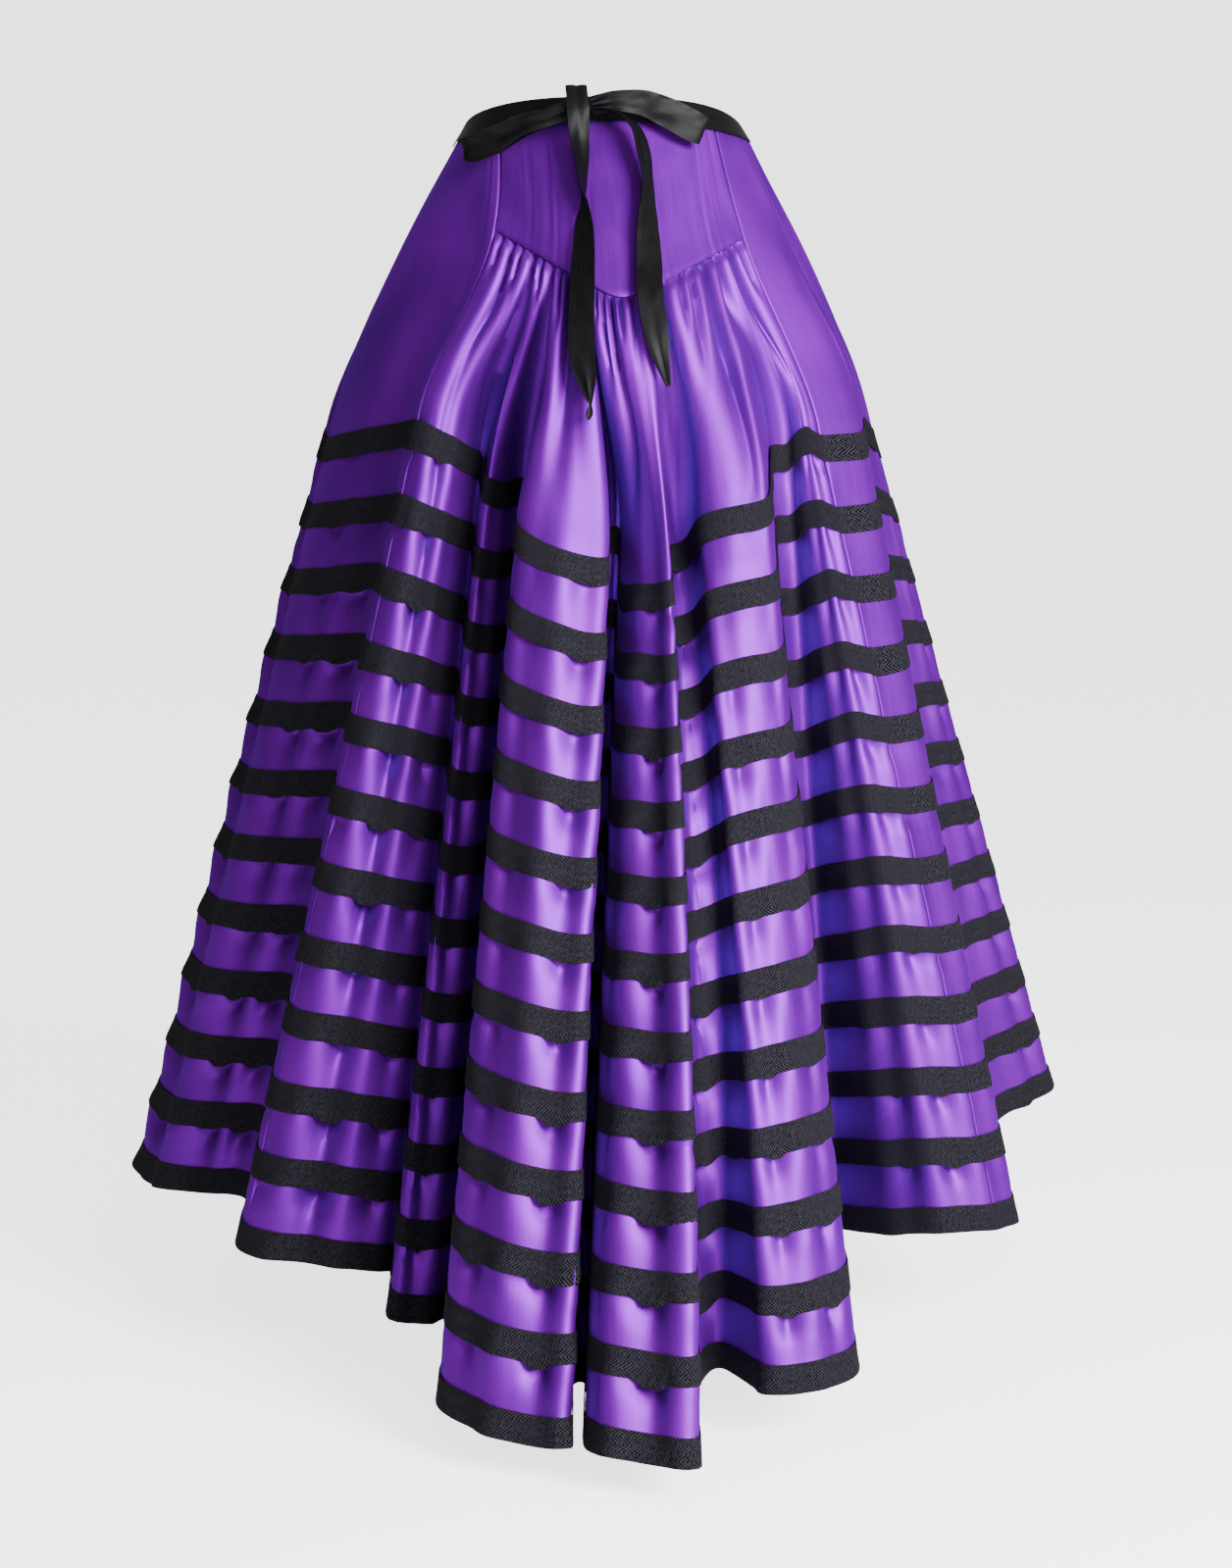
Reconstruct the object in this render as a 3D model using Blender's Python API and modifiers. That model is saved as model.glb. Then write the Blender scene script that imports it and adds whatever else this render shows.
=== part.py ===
"""Back-gathered walking skirt with eleven tape rings, a hem binding and a ribbon bow at the back waist.

The waist centre is the origin, +Z is up and the back of the skirt faces -Y. Sizes are in metres.
A table gives one row for each fold line, going round from the left side by the back. Each row says where
that fold line meets the hem and the top tape ring, and the cloth between the rows is worked out from them.
"""
import math
from collections import namedtuple

import bpy
from mathutils import Matrix, Vector

MM = 0.001

# Cloth and trim
WALL = 1.5 * MM
TAPE_WIDTH = 25 * MM
TAPE_THICK = 0.8 * MM
TAPE_GAP = 0.3 * MM
SEAM_GAP = 0.3 * MM
YOKE_SEAM_GAP = 0.6 * MM
TAPE_COUNT = 11
TAPE_PITCH = 66 * MM
RINGED_LENGTH = TAPE_COUNT * TAPE_PITCH
RINGED_ABOVE = 22 * MM
TOP_HEIGHT = RINGED_LENGTH + RINGED_ABOVE

# Waist, an ellipse that rises a little at the back and dips at the front
WAIST_X = 8 * MM
WAIST_HALF_WIDTH = 136 * MM
WAIST_HALF_BACK = 100 * MM
WAIST_HALF_FRONT = 92 * MM
WAIST_BACK_RISE = 14 * MM
WAIST_FRONT_DIP = 12 * MM

# Hip line, where the yoke's corners lie
HIP_OUT = 50 * MM
HIP_OUT_FRONT = 28 * MM
HIP_DROP = 92 * MM
HIP_EASE_DEGREES = 45.0

# Pointed lower edge of the yoke, between its left and right corners
YOKE_LEFT = Vector((-88, -120, -86)) * MM
YOKE_RIGHT = Vector((135, -100, -92)) * MM
YOKE_POINT_SHARE = 0.51
YOKE_POINT_DROP = 60 * MM
YOKE_POINT_BACK = 90 * MM
YOKE_BULGE = 0.25

# Gathers under the yoke
GATHERS = 20
GATHER_DEPTH = 3.2 * MM
GATHER_EDGE_DEPTH = 0.7 * MM
GATHER_FULL_AT = 30 * MM
GATHER_GONE_AT = 230 * MM
GATHER_PUFF = 0.16

# Working steps of the surface: how far it looks for its slope, and the sharpest corner it evens out
LOOK = 0.02
SHARPEST = 0.12
YOKE_SIDE_CUTS = 12

# Fold lines: turn is the place on the waist in degrees, 0 left side, 90 centre back, 180 right side.
# hem_* and band_* are millimetres, and back is the distance behind the waist centre. sink is how much lower
# than taut the cloth hangs at the top ring, belly how far it swells at half height, soft the reach of the
# rounded corner at the hem, and cuts how many columns the corner has.
Fold = namedtuple("Fold", "name turn hem_x hem_back hem_z band_x band_back sink belly soft cuts")
FOLDS = [
    Fold("left_side", 4, -438, -10, -974, -258, -48, 10, 0, 60, 2),
    Fold("left_side_back", 20, -386, 46, -970, -222, 46, 12, 0, 60, 2),
    Fold("valley_ab", 38, -321, 62, -968, -171, 98, 10, 0, 30, 1),
    Fold("b_left", 46, -322, 200, -986, -161, 148, -14, 0, 34, 2),
    Fold("b_middle", 54, -256, 224, -989, -134, 158, 0, 0, 50, 2),
    Fold("b_right", 59, -190, 212, -1001, -110, 132, 8, 0, 30, 2),
    Fold("valley_bc", 60, -181, 182, -1006, -102, 104, 6, 0, 20, 1),
    Fold("c_left", 61, -178, 294, -1022, -97, 156, 4, 0, 26, 2),
    Fold("c_right", 65, -140, 272, -1030, -78, 136, 2, 0, 26, 1),
    Fold("valley_cd_left", 66, -124, 226, -1032, -70, 112, 0, 0, 14, 1),
    Fold("valley_cd_right", 67, -106, 226, -1034, -58, 112, 0, 0, 14, 1),
    Fold("d_left", 68, -130, 440, -1052, -68, 252, 4, 0, 36, 2),
    Fold("d_middle", 74, -68, 492, -1061, -29, 270, 6, 0, 50, 2),
    Fold("d_right", 80, -16, 512, -1063, 13, 264, 6, 0, 26, 2),
    Fold("slot_left", 80.6, -18, 336, -1062, 12, 178, 6, 0, 14, 1),
    Fold("slot_right", 81.4, -5, 336, -1060, 24, 178, 6, 0, 14, 1),
    Fold("e_left", 82, -5, 522, -1060, 23, 216, 8, 8, 26, 2),
    Fold("e_middle", 91, 40, 544, -1061, 47, 252, 10, 10, 50, 2),
    Fold("e_right", 100, 86, 560, -1064, 69, 272, 8, 10, 34, 2),
    Fold("valley_ef_left", 101.5, 84, 404, -1050, 64, 202, 24, 34, 40, 1),
    Fold("valley_ef_right", 105, 106, 330, -1047, 82, 190, 36, 54, 30, 2),
    Fold("f_crest", 112, 150, 438, -1044, 95, 230, -4, 12, 40, 2),
    Fold("f_right", 126, 224, 396, -1040, 154, 222, -3, -4, 30, 2),
    Fold("valley_fg_left", 127.5, 210, 62, -1010, 160, 108, 0, 0, 18, 1),
    Fold("valley_fg_right", 129, 230, 24, -1010, 176, 92, 0, 0, 22, 1),
    Fold("g_left", 130.5, 262, 92, -998, 184, 104, 0, 0, 40, 2),
    Fold("g_middle", 132.5, 318, 142, -984, 194, 108, 0, 0, 50, 2),
    Fold("g_seam", 136, 372, 118, -987, 206, 98, 0, 0, 40, 2),
    Fold("g_right", 156, 396, 86, -988, 250, 60, 0, 0, 30, 2),
    Fold("valley_gh", 163, 372, -92, -962, 252, 14, 8, 0, 40, 1),
    Fold("h_left", 169, 412, -172, -944, 262, -4, 17, 0, 50, 1),
    Fold("h_right", 182, 490, -248, -931, 271, -44, 12, 0, 50, 2),
    Fold("front_valley_1", 198, 412, -330, -932, 246, -112, 0, 0, 60, 1),
    Fold("front_crest_1", 214, 350, -432, -934, 216, -164, 0, 0, 60, 1),
    Fold("front_valley_2", 232, 240, -412, -934, 162, -184, 0, 0, 60, 1),
    Fold("front_crest_2", 248, 165, -492, -934, 106, -212, 0, 0, 60, 1),
    Fold("front_valley_3", 262, 62, -456, -934, 42, -212, 0, 0, 60, 1),
    Fold("front_crest_3", 276, -30, -506, -934, -20, -222, 0, 0, 60, 1),
    Fold("front_valley_4", 291, -130, -446, -936, -84, -206, 0, 0, 60, 1),
    Fold("front_crest_4", 306, -228, -470, -938, -146, -192, 0, 0, 60, 1),
    Fold("front_valley_5", 322, -292, -380, -944, -190, -158, 0, 0, 60, 1),
    Fold("front_crest_5", 336, -384, -330, -952, -238, -132, 0, 0, 60, 1),
    Fold("left_valley", 346, -402, -206, -960, -256, -96, 6, 0, 60, 1),
    Fold("left_crest", 356, -450, -110, -964, -264, -72, 10, 0, 60, 1),
]

# Rounded corners: how soft one is at the top ring, the most of an edge that it takes, and the share of the
# columns that lies on the straight cloth beside it
BAND_SOFT_SHARE = 0.55
MOST_REACH = 0.4
STRAIGHT_SHARE = 0.2

# Seams run down a fold line, and the centre back seam lies half a row on, in the bottom of a deep fold
LEFT_BACK_SEAM = "b_left"
CENTRE_BACK_FOLD = "slot_left"
RIGHT_BACK_SEAM = "g_seam"
RIGHT_FRONT_SEAM = "front_valley_1"
LEFT_FRONT_SEAM = "left_valley"

# Rows of the wall above the rings: 0 is the waist, 1 the hip line and 2 the top of the ringed part
UPPER_ROWS = (0.0, 0.34, 0.67, 1.0)
MIDDLE_ROWS = (1.0, 1.06, 1.14, 1.28, 1.5, 1.72, 1.9, 2.0)

# Waist ribbon, from one side round the back to the other
RIBBON_TURNS = (2.0, 176.0)
RIBBON_CUTS = 28
RIBBON_TOP = 2 * MM

# Bow: each ribbon runs through its stops, in millimetres. back is the distance behind the waist centre,
# up the height, width the ribbon's width there, and lean how far its width is turned, in degrees.
Stop = namedtuple("Stop", "x back up width lean")
LEFT_LOOP = [
    Stop(-27.5, 109, 16, 18, 0),
    Stop(-50, 106, 10, 22, -4),
    Stop(-82, 96, 1, 25, -8),
    Stop(-104, 86, -5, 25, -10),
    Stop(-112, 85, -7, 25, -10),
    Stop(-116, 90, -8, 25, -10),
    Stop(-112, 97, -7, 25, -10),
    Stop(-104, 101, -5, 25, -10),
    Stop(-80, 112, 1, 25, -8),
    Stop(-50, 120, 9, 23, -4),
    Stop(-27.5, 123, 15, 18, 0),
]
RIGHT_LOOP = [
    Stop(-1.4, 109, 20, 16, 0),
    Stop(28, 107, 26, 19, -4),
    Stop(60, 103, 27, 23, 8),
    Stop(84, 98, 14, 23, 22),
    Stop(93, 99, 10, 22, 22),
    Stop(98, 105, 8, 22, 22),
    Stop(93, 112, 10, 22, 22),
    Stop(84, 115, 14, 23, 22),
    Stop(60, 119, 26, 24, 8),
    Stop(28, 122, 27, 19, -4),
    Stop(-1.4, 122, 20, 16, 0),
]
LEFT_TAIL = [
    Stop(-14, 110, 34.9, 20, 0),
    Stop(-14, 122, 35.2, 21, 0),
    Stop(-14, 130, 30, 22, 0),
    Stop(-14, 131, 12, 21, 8),
    Stop(-11, 135, -14, 16, 16),
    Stop(-10, 146, -46, 15, 20),
    Stop(-10, 163, -84, 20, 14),
    Stop(-8, 180, -114, 24, 8),
    Stop(-7, 198, -146, 25, 4),
    Stop(-5, 214, -184, 23, 6),
    Stop(-2, 226, -216, 17, 8),
    Stop(0, 236, -246, 6, 8),
]
RIGHT_TAIL = [
    Stop(-3.2, 117, 3, 11, 0),
    Stop(17, 124, 3, 14, -6),
    Stop(33, 128, -5, 17, -8),
    Stop(44, 131, -23, 19, -6),
    Stop(49, 141, -48, 20, -4),
    Stop(50, 157, -78, 23, 0),
    Stop(51, 176, -110, 25, 0),
    Stop(51, 195, -140, 25, 0),
    Stop(53, 210, -168, 24, 0),
    Stop(56, 217, -192, 19, 4),
    Stop(62, 214, -214, 12, 8),
    Stop(68, 206, -230, 5, 8),
]
RIBBON_THICK = 1.0 * MM
STEPS_BETWEEN_STOPS = 2
KNOT_MIDDLE = Vector((-14.5, -117.4, 18)) * MM
KNOT_SIZE = Vector((21, 23, 32)) * MM
KNOT_ROUND = 6 * MM


def fold_index(name):
    """Row of the fold table with this name."""
    return [fold.name for fold in FOLDS].index(name)


def hem_control(fold):
    return Vector((fold.hem_x, -fold.hem_back, fold.hem_z)) * MM


def band_control(fold):
    """Place of a fold line on the top tape ring: one ringed length of cloth above the hem."""
    hem = hem_control(fold)
    across = Vector((fold.band_x, -fold.band_back)) * MM
    run = (across - hem.xy).length
    rise = math.sqrt(RINGED_LENGTH**2 - run**2) - fold.sink * MM
    return Vector((across.x, across.y, hem.z + rise))


HEM_RING = [hem_control(fold) for fold in FOLDS]
BAND_RING = [band_control(fold) for fold in FOLDS]
HEM_SOFT = [fold.soft * MM for fold in FOLDS]
BAND_SOFT = [soft * BAND_SOFT_SHARE for soft in HEM_SOFT]


def rounded(ring, softs, place):
    """Point on a closed ring of rounded corners. place is the row number, plus or minus up to a half."""
    count = len(ring)
    row = math.floor(place + 0.5)
    share = place + 0.5 - row
    here, before, after = ring[row % count], ring[(row - 1) % count], ring[(row + 1) % count]
    back, ahead = before - here, after - here
    reach = min(softs[row % count], back.length * MOST_REACH, ahead.length * MOST_REACH)
    start, end = here + back.normalized() * reach, here + ahead.normalized() * reach
    if share < STRAIGHT_SHARE:
        return ((before + here) / 2).lerp(start, share / STRAIGHT_SHARE)
    if share > 1 - STRAIGHT_SHARE:
        return end.lerp((here + after) / 2, (share - 1 + STRAIGHT_SHARE) / STRAIGHT_SHARE)
    bend = (share - STRAIGHT_SHARE) / (1 - 2 * STRAIGHT_SHARE)
    return start.lerp(here, bend).lerp(here.lerp(end, bend), bend)


def eased(values, place, lap=0.0):
    """Value at a column, eased through the fold rows' values. lap is what one turn round the ring adds."""
    count = len(values)
    row = math.floor(place + 0.5)
    share = place + 0.5 - row

    def value_of(step):
        laps, index = divmod(row + step, count)
        return values[index] + lap * laps

    start = (value_of(-1) + value_of(0)) / 2
    end = (value_of(0) + value_of(1)) / 2
    return (1 - share) ** 2 * start + 2 * share * (1 - share) * value_of(0) + share**2 * end


def turn_at(place):
    """Degrees round the waist of a column."""
    return eased([fold.turn for fold in FOLDS], place, 360.0)


LEFT_TURN = turn_at(fold_index(LEFT_BACK_SEAM))
RIGHT_TURN = turn_at(fold_index(RIGHT_BACK_SEAM))


def waist_point(turn):
    """Point of the waist edge at this turn."""
    angle = math.radians(turn)
    depth = WAIST_HALF_BACK if math.sin(angle) > 0 else WAIST_HALF_FRONT
    rise = WAIST_BACK_RISE * max(0.0, math.sin(angle)) - WAIST_FRONT_DIP * max(0.0, -math.sin(angle))
    return Vector((WAIST_X - WAIST_HALF_WIDTH * math.cos(angle), -depth * math.sin(angle), rise))


def waist_outward(turn):
    """Level direction away from the body at this turn."""
    angle = math.radians(turn)
    depth = WAIST_HALF_BACK if math.sin(angle) > 0 else WAIST_HALF_FRONT
    return Vector((-math.cos(angle) / WAIST_HALF_WIDTH, -math.sin(angle) / depth, 0)).normalized()


def plain_hip(turn):
    """Hip line of a plain gore at this turn."""
    front = max(0.0, -math.sin(math.radians(turn)))
    out = HIP_OUT + (HIP_OUT_FRONT - HIP_OUT) * front
    return waist_point(turn) + waist_outward(turn) * out - Vector((0, 0, HIP_DROP))


def yoke_share(turn):
    """0 at the yoke's left corner and 1 at its right corner."""
    return (turn % 360 - LEFT_TURN) / (RIGHT_TURN - LEFT_TURN)


def nearness_to_point(share):
    """0 at the yoke's corners and 1 at its point."""
    side = YOKE_POINT_SHARE if share < YOKE_POINT_SHARE else 1 - YOKE_POINT_SHARE
    return max(0.0, 1 - abs(share - YOKE_POINT_SHARE) / side)


def hip_point(turn):
    """Yoke seam at the back, and the hip line of the gores elsewhere, eased out from the yoke's corners."""
    share = yoke_share(turn)
    if 0 <= share <= 1:
        near = nearness_to_point(share)
        low = Vector((0, -YOKE_POINT_BACK * near**0.9, -YOKE_POINT_DROP * near**1.1))
        return YOKE_LEFT.lerp(YOKE_RIGHT, share) + low
    point = plain_hip(turn)
    for corner, corner_turn in ((YOKE_LEFT, LEFT_TURN), (YOKE_RIGHT, RIGHT_TURN)):
        away = abs((turn - corner_turn + 180) % 360 - 180) / HIP_EASE_DEGREES
        if away < 1:
            point += (corner - plain_hip(corner_turn)) * (1 - away) ** 2 * (1 + 2 * away)
    return point


def ringed_point(place, height):
    """Point of the ringed part, height metres of cloth above the hem binding's centre."""
    share = height / RINGED_LENGTH
    hem = rounded(HEM_RING, HEM_SOFT, place)
    swell = eased([fold.belly * MM for fold in FOLDS], place) * 4 * share * (1 - share)
    return hem.lerp(rounded(BAND_RING, BAND_SOFT, place), share) + waist_outward(turn_at(place)) * swell


def ringed_up(place, height):
    """Unit direction up the cloth in the ringed part."""
    return (ringed_point(place, height + LOOK) - ringed_point(place, height - LOOK)).normalized()


def easy_direction(place):
    """Direction down the cloth at the hip line of a plain gore."""
    turn = turn_at(place)
    above = hip_point(turn) - waist_point(turn)
    below = ringed_point(place, TOP_HEIGHT) - hip_point(turn)
    weight = below.length / (above.length + below.length)
    return (above.normalized() * weight + below.normalized() * (1 - weight)).normalized()


LEFT_EASE = easy_direction(fold_index(LEFT_BACK_SEAM))
RIGHT_EASE = easy_direction(fold_index(RIGHT_BACK_SEAM))


def hip_direction(place):
    """Direction down the cloth at the hip line, smooth right across the yoke."""
    share = yoke_share(turn_at(place))
    if not 0 <= share <= 1:
        return easy_direction(place)
    out = Vector((0, -YOKE_BULGE * math.sin(math.pi * share), 0))
    return (LEFT_EASE.lerp(RIGHT_EASE, share) + out).normalized()


def hermite(start, start_run, end, end_run, share):
    """Cubic between two points that leaves and arrives along the two runs."""
    back = 1 - share
    return (
        start * (back**2 * (1 + 2 * share))
        + start_run * (share * back**2)
        + end * (share**2 * (1 + 2 * back))
        - end_run * (share**2 * back)
    )


def upper_point(place, row):
    """Point of the cloth above the rings: row 0 is the waist, 1 the hip line, 2 the ringed part's top."""
    turn = turn_at(place)
    hip = hip_point(turn)
    down = hip_direction(place)
    if row <= 1:
        waist = waist_point(turn)
        chord = hip - waist
        start = (3 * chord - down * chord.length) / 2
        return hermite(waist, start, hip, down * chord.length, row)
    top = ringed_point(place, TOP_HEIGHT)
    run = (top - hip).length
    share = yoke_share(turn)
    if 0 < share < 1:
        puff = GATHER_PUFF * math.sin(math.pi * share)
        down = down + waist_outward(turn) * puff
    return hermite(hip, down * run, top, -ringed_up(place, TOP_HEIGHT) * run, row - 1)


def gather_wave(turn):
    """Ridge and trough of the gathers across the yoke seam, from -1 to 1, uneven in width and depth."""
    share = yoke_share(turn)
    phase = GATHERS * share + 0.35 * math.sin(9.0 * share) + 0.2 * math.sin(23.0 * share)
    return math.cos(2 * math.pi * phase) * (0.78 + 0.22 * math.sin(31.0 * share))


def gather_depth(distance):
    """How deep the gathers are at this distance below the yoke seam."""
    rise = min(1.0, distance / GATHER_FULL_AT)
    fall = max(0.0, min(1.0, (distance - GATHER_FULL_AT) / (GATHER_GONE_AT - GATHER_FULL_AT)))
    swell = GATHER_EDGE_DEPTH + (GATHER_DEPTH - GATHER_EDGE_DEPTH) * math.sin(rise * math.pi / 2)
    return swell * (1 - fall) ** 2 * (1 + 2 * fall)


def gathered_point(place, row):
    """Point of the back panel above the rings, with its gathers."""
    turn = turn_at(place)
    share = yoke_share(turn)
    point = upper_point(place, row)
    hip = hip_point(turn)
    distance = (point - hip).length
    if row <= 1:
        down = (upper_point(place, 1.02) - hip).normalized()
        point = point + down * YOKE_SEAM_GAP
    fade = min(1.0, 12 * share, 12 * (1 - share))
    depth = gather_depth(distance) * max(0.0, fade)
    return point + waist_outward(turn) * depth * gather_wave(turn)


def lower_places():
    """Columns of the ringed part, one or more for each fold line, evenly set in its rounded corner."""
    places = []
    for row, fold in enumerate(FOLDS):
        for cut in range(fold.cuts):
            inset = STRAIGHT_SHARE / 2
            share = 0.5 if fold.cuts == 1 else inset + (1 - 2 * inset) * (cut + 0.5) / fold.cuts
            places.append(row - 0.5 + share)
    return places


def place_of_seam(name):
    return float(fold_index(name))


def place_of_turn(turn, low, high):
    """Place of the column at this turn, by halving."""
    for _ in range(40):
        middle = (low + high) / 2
        if turn_at(middle) < turn:
            low = middle
        else:
            high = middle
    return (low + high) / 2


def panel_places(start, end):
    """Ringed-part columns of a panel from one seam to the next, both seams included."""
    count = len(FOLDS)
    if end <= start:
        end += count
    inner = [place + lap * count for lap in (0, 1) for place in lower_places()]
    return [start] + [place for place in inner if start + 0.2 < place < end - 0.2] + [end]


def with_gathers(places):
    """The same columns, with four more for each gather of the yoke seam wherever there is room."""
    closest = 0.0016
    turns = [turn_at(place) for place in places]
    found = list(places)
    for step in range(1, 4 * GATHERS):
        turn = LEFT_TURN + (RIGHT_TURN - LEFT_TURN) * step / (4 * GATHERS)
        spot = hip_point(turn)
        nearest = min((hip_point(other) - spot).length for other in turns)
        if turns[0] < turn < turns[-1] and nearest > closest:
            found.append(place_of_turn(turn, places[0], places[-1]))
    return sorted(found)


def trimmed(row):
    """A row of points with its two ends drawn in from the seams."""
    first = row[0] + (row[1] - row[0]).normalized() * (SEAM_GAP / 2)
    last = row[-1] + (row[-2] - row[-1]).normalized() * (SEAM_GAP / 2)
    return [first] + row[1:-1] + [last]


def level_of(height):
    """Level of a row in the ringed part, from its height above the hem binding's centre."""
    return 2 + TOP_HEIGHT - height


def cloth_point(place, level):
    """Point of the outside of the cloth: levels up to 2 are the upper part, and more is metres below it."""
    if level > 2:
        return ringed_point(place, TOP_HEIGHT - (level - 2))
    return upper_point(place, level)


def up_at(place, level):
    """Direction up the cloth at a column."""
    if level >= 2:
        return ringed_up(place, TOP_HEIGHT - (level - 2))
    low, high = min(2.0, level + LOOK), max(0.0, level - LOOK)
    return (upper_point(place, high) - upper_point(place, low)).normalized()


def ring_of(places, level, distance, surface=cloth_point):
    """Closed row of points right round the skirt, moved out of the cloth, evenly also at its corners."""
    points = [surface(place, level) for place in places]
    ring = []
    for i, point in enumerate(points):
        up = up_at(places[i], level)
        before, after = points[i - 1], points[(i + 1) % len(points)]
        first = (point - before).cross(up).normalized()
        second = (after - point).cross(up).normalized()
        mean = (first + second) / 2
        ring.append(point + mean * (distance / max(mean.length_squared, SHARPEST)))
    return ring


def back_or_plain(place, level):
    """Point of a row that has the gathered panel at the back and plain gores elsewhere."""
    if 0 <= yoke_share(turn_at(place)) <= 1:
        return gathered_point(place, level)
    return upper_point(place, level)


def material(name, colour, roughness):
    """Principled cloth finish."""
    made = bpy.data.materials.new(name)
    made.use_nodes = True
    shader = made.node_tree.nodes["Principled BSDF"]
    shader.inputs["Base Color"].default_value = (*colour, 1)
    shader.inputs["Roughness"].default_value = roughness
    shader.inputs["Metallic"].default_value = 0
    made.diffuse_color = (*colour, 1)
    return made


def grid_faces(rows, closed=False, first=0):
    """Triangles between rows of equal length, bottom row first, each cut along its hollow diagonal."""
    faces = []
    width = len(rows[0])
    for high in range(len(rows) - 1):
        for i in range(width if closed else width - 1):
            j = (i + 1) % width
            a, b = first + high * width + i, first + high * width + j
            d, c = a + width, b + width
            low_left, low_right = rows[high][i], rows[high][j]
            top_left, top_right = rows[high + 1][i], rows[high + 1][j]
            out = (low_right - low_left).cross(top_left - low_left)
            if out.dot(low_left + top_right - low_right - top_left) < 0:
                faces += [(a, b, c), (a, c, d)]
            else:
                faces += [(a, b, d), (b, c, d)]
    return faces


def joining_faces(low_places, high_places, low_first, high_first):
    """Triangles between a row and a row above it that has the same columns and more between them."""
    faces = []
    high = 0
    for low in range(len(low_places) - 1):
        end = high_places.index(low_places[low + 1])
        middle = (high + end) // 2
        for step in range(high, middle):
            faces.append((low_first + low, high_first + step + 1, high_first + step))
        faces.append((low_first + low, low_first + low + 1, high_first + middle))
        for step in range(middle, end):
            faces.append((low_first + low + 1, high_first + step + 1, high_first + step))
        high = end
    return faces


def flat(rows):
    """The points of all rows, one after another."""
    return [point for row in rows for point in row]


def walled_object(name, outside, inside, faces, finish, collection):
    """Closed wall of cloth: an outer surface, the inner one behind it and a rim between their free edges."""
    count = len(outside)
    edges = {edge for a, b, c in faces for edge in ((a, b), (b, c), (c, a))}
    rim = [(b, a, a + count, b + count) for a, b in sorted(edges) if (b, a) not in edges]
    inner = [(c + count, b + count, a + count) for a, b, c in faces]
    mesh = bpy.data.meshes.new(name)
    mesh.from_pydata([tuple(point) for point in outside + inside], [], faces + inner + rim)
    mesh.shade_smooth()
    mesh.set_sharp_from_angle(angle=math.radians(50))
    mesh.materials.append(finish)
    made = bpy.data.objects.new(name, mesh)
    collection.objects.link(made)
    return made


def ring_levels():
    """Levels of the rows of the ringed part: the hem edge, the middle of each gap, and the top."""
    gaps = [level_of((step + 0.5) * TAPE_PITCH) for step in range(TAPE_COUNT)]
    return [level_of(-TAPE_WIDTH / 2)] + gaps + [2.0]


class Columns:
    """The columns of every row right round the skirt, and where the seams cut them."""

    def __init__(self):
        low, high = place_of_seam(LEFT_BACK_SEAM), place_of_seam(RIGHT_BACK_SEAM)
        middle = place_of_seam(CENTRE_BACK_FOLD) + 0.5
        seams = [low, middle, high, place_of_seam(RIGHT_FRONT_SEAM), place_of_seam(LEFT_FRONT_SEAM)]
        pairs = list(zip(seams, seams[1:] + [low + len(FOLDS)]))
        panels = [panel_places(start, end) for start, end in pairs]
        yoke = [place_of_turn(turn, low, high) for turn in yoke_turns()]
        yoke[0], yoke[-1] = low, high
        self.plain = panels
        self.gathered = [with_gathers(panel) for panel in panels[:2]] + panels[2:]
        self.yoke = [yoke] + panels[2:]

    @staticmethod
    def rows(panels, number, levels, distance, surface=cloth_point):
        """Rows of one panel, bottom first, cut out of closed rows right round the skirt."""
        ring = [place for panel in panels for place in panel[:-1]]
        start = sum(len(panel) - 1 for panel in panels[:number])
        length = len(panels[number])
        found = []
        for level in levels:
            points = ring_of(ring, level, distance, surface)
            points += points[:1]
            found.append(trimmed(points[start:start + length]))
        return found


def plain_panel(name, number, columns, finish, collection):
    """Smooth gore from the waist to the hem between two seams."""
    levels = ring_levels() + list(reversed(UPPER_ROWS + MIDDLE_ROWS[1:-1]))
    levels = sorted(levels, reverse=True)
    walls = [flat(columns.rows(columns.yoke, number, levels, distance)) for distance in (0, -WALL)]
    faces = grid_faces(columns.rows(columns.yoke, number, levels, 0))
    return walled_object(name, walls[0], walls[1], faces, finish, collection)


def back_panel(name, number, columns, finish, collection):
    """Half of the wide gathered back, from the yoke seam to the hem."""
    upper = sorted(MIDDLE_ROWS[:-1], reverse=True)
    walls = []
    for distance in (0, -WALL):
        low = columns.rows(columns.plain, number, ring_levels(), distance)
        high = columns.rows(columns.gathered, number, upper, distance, back_or_plain)
        walls.append((low, high))
    low, high = walls[0]
    first_high = len(low) * len(low[0])
    faces = grid_faces(low)
    low_places, high_places = columns.plain[number], columns.gathered[number]
    faces += joining_faces(low_places, high_places, first_high - len(low[0]), first_high)
    faces += grid_faces(high, first=first_high)
    outside, inside = [flat(below + above) for below, above in walls]
    return walled_object(name, outside, inside, faces, finish, collection)


def back_yoke(columns, finish, collection):
    """Smooth pointed piece between the waist and the gathers."""
    levels = sorted(UPPER_ROWS, reverse=True)
    outside, inside = [columns.rows(columns.yoke, 0, levels, distance) for distance in (0, -WALL)]
    faces = grid_faces(outside)
    return walled_object("back_yoke", flat(outside), flat(inside), faces, finish, collection)


def tape_ring(name, height, columns, finish, collection):
    """Ring of tape on the cloth, its centre at this height above the hem binding's centre."""
    ring = [place for panel in columns.plain for place in panel[:-1]]
    edges = [level_of(height + side * TAPE_WIDTH / 2) for side in (-1, 1)]
    inside, outside = [
        [ring_of(ring, level, distance) for level in edges]
        for distance in (TAPE_GAP, TAPE_GAP + TAPE_THICK)
    ]
    faces = grid_faces(outside, closed=True)
    return walled_object(name, flat(outside), flat(inside), faces, finish, collection)


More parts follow.
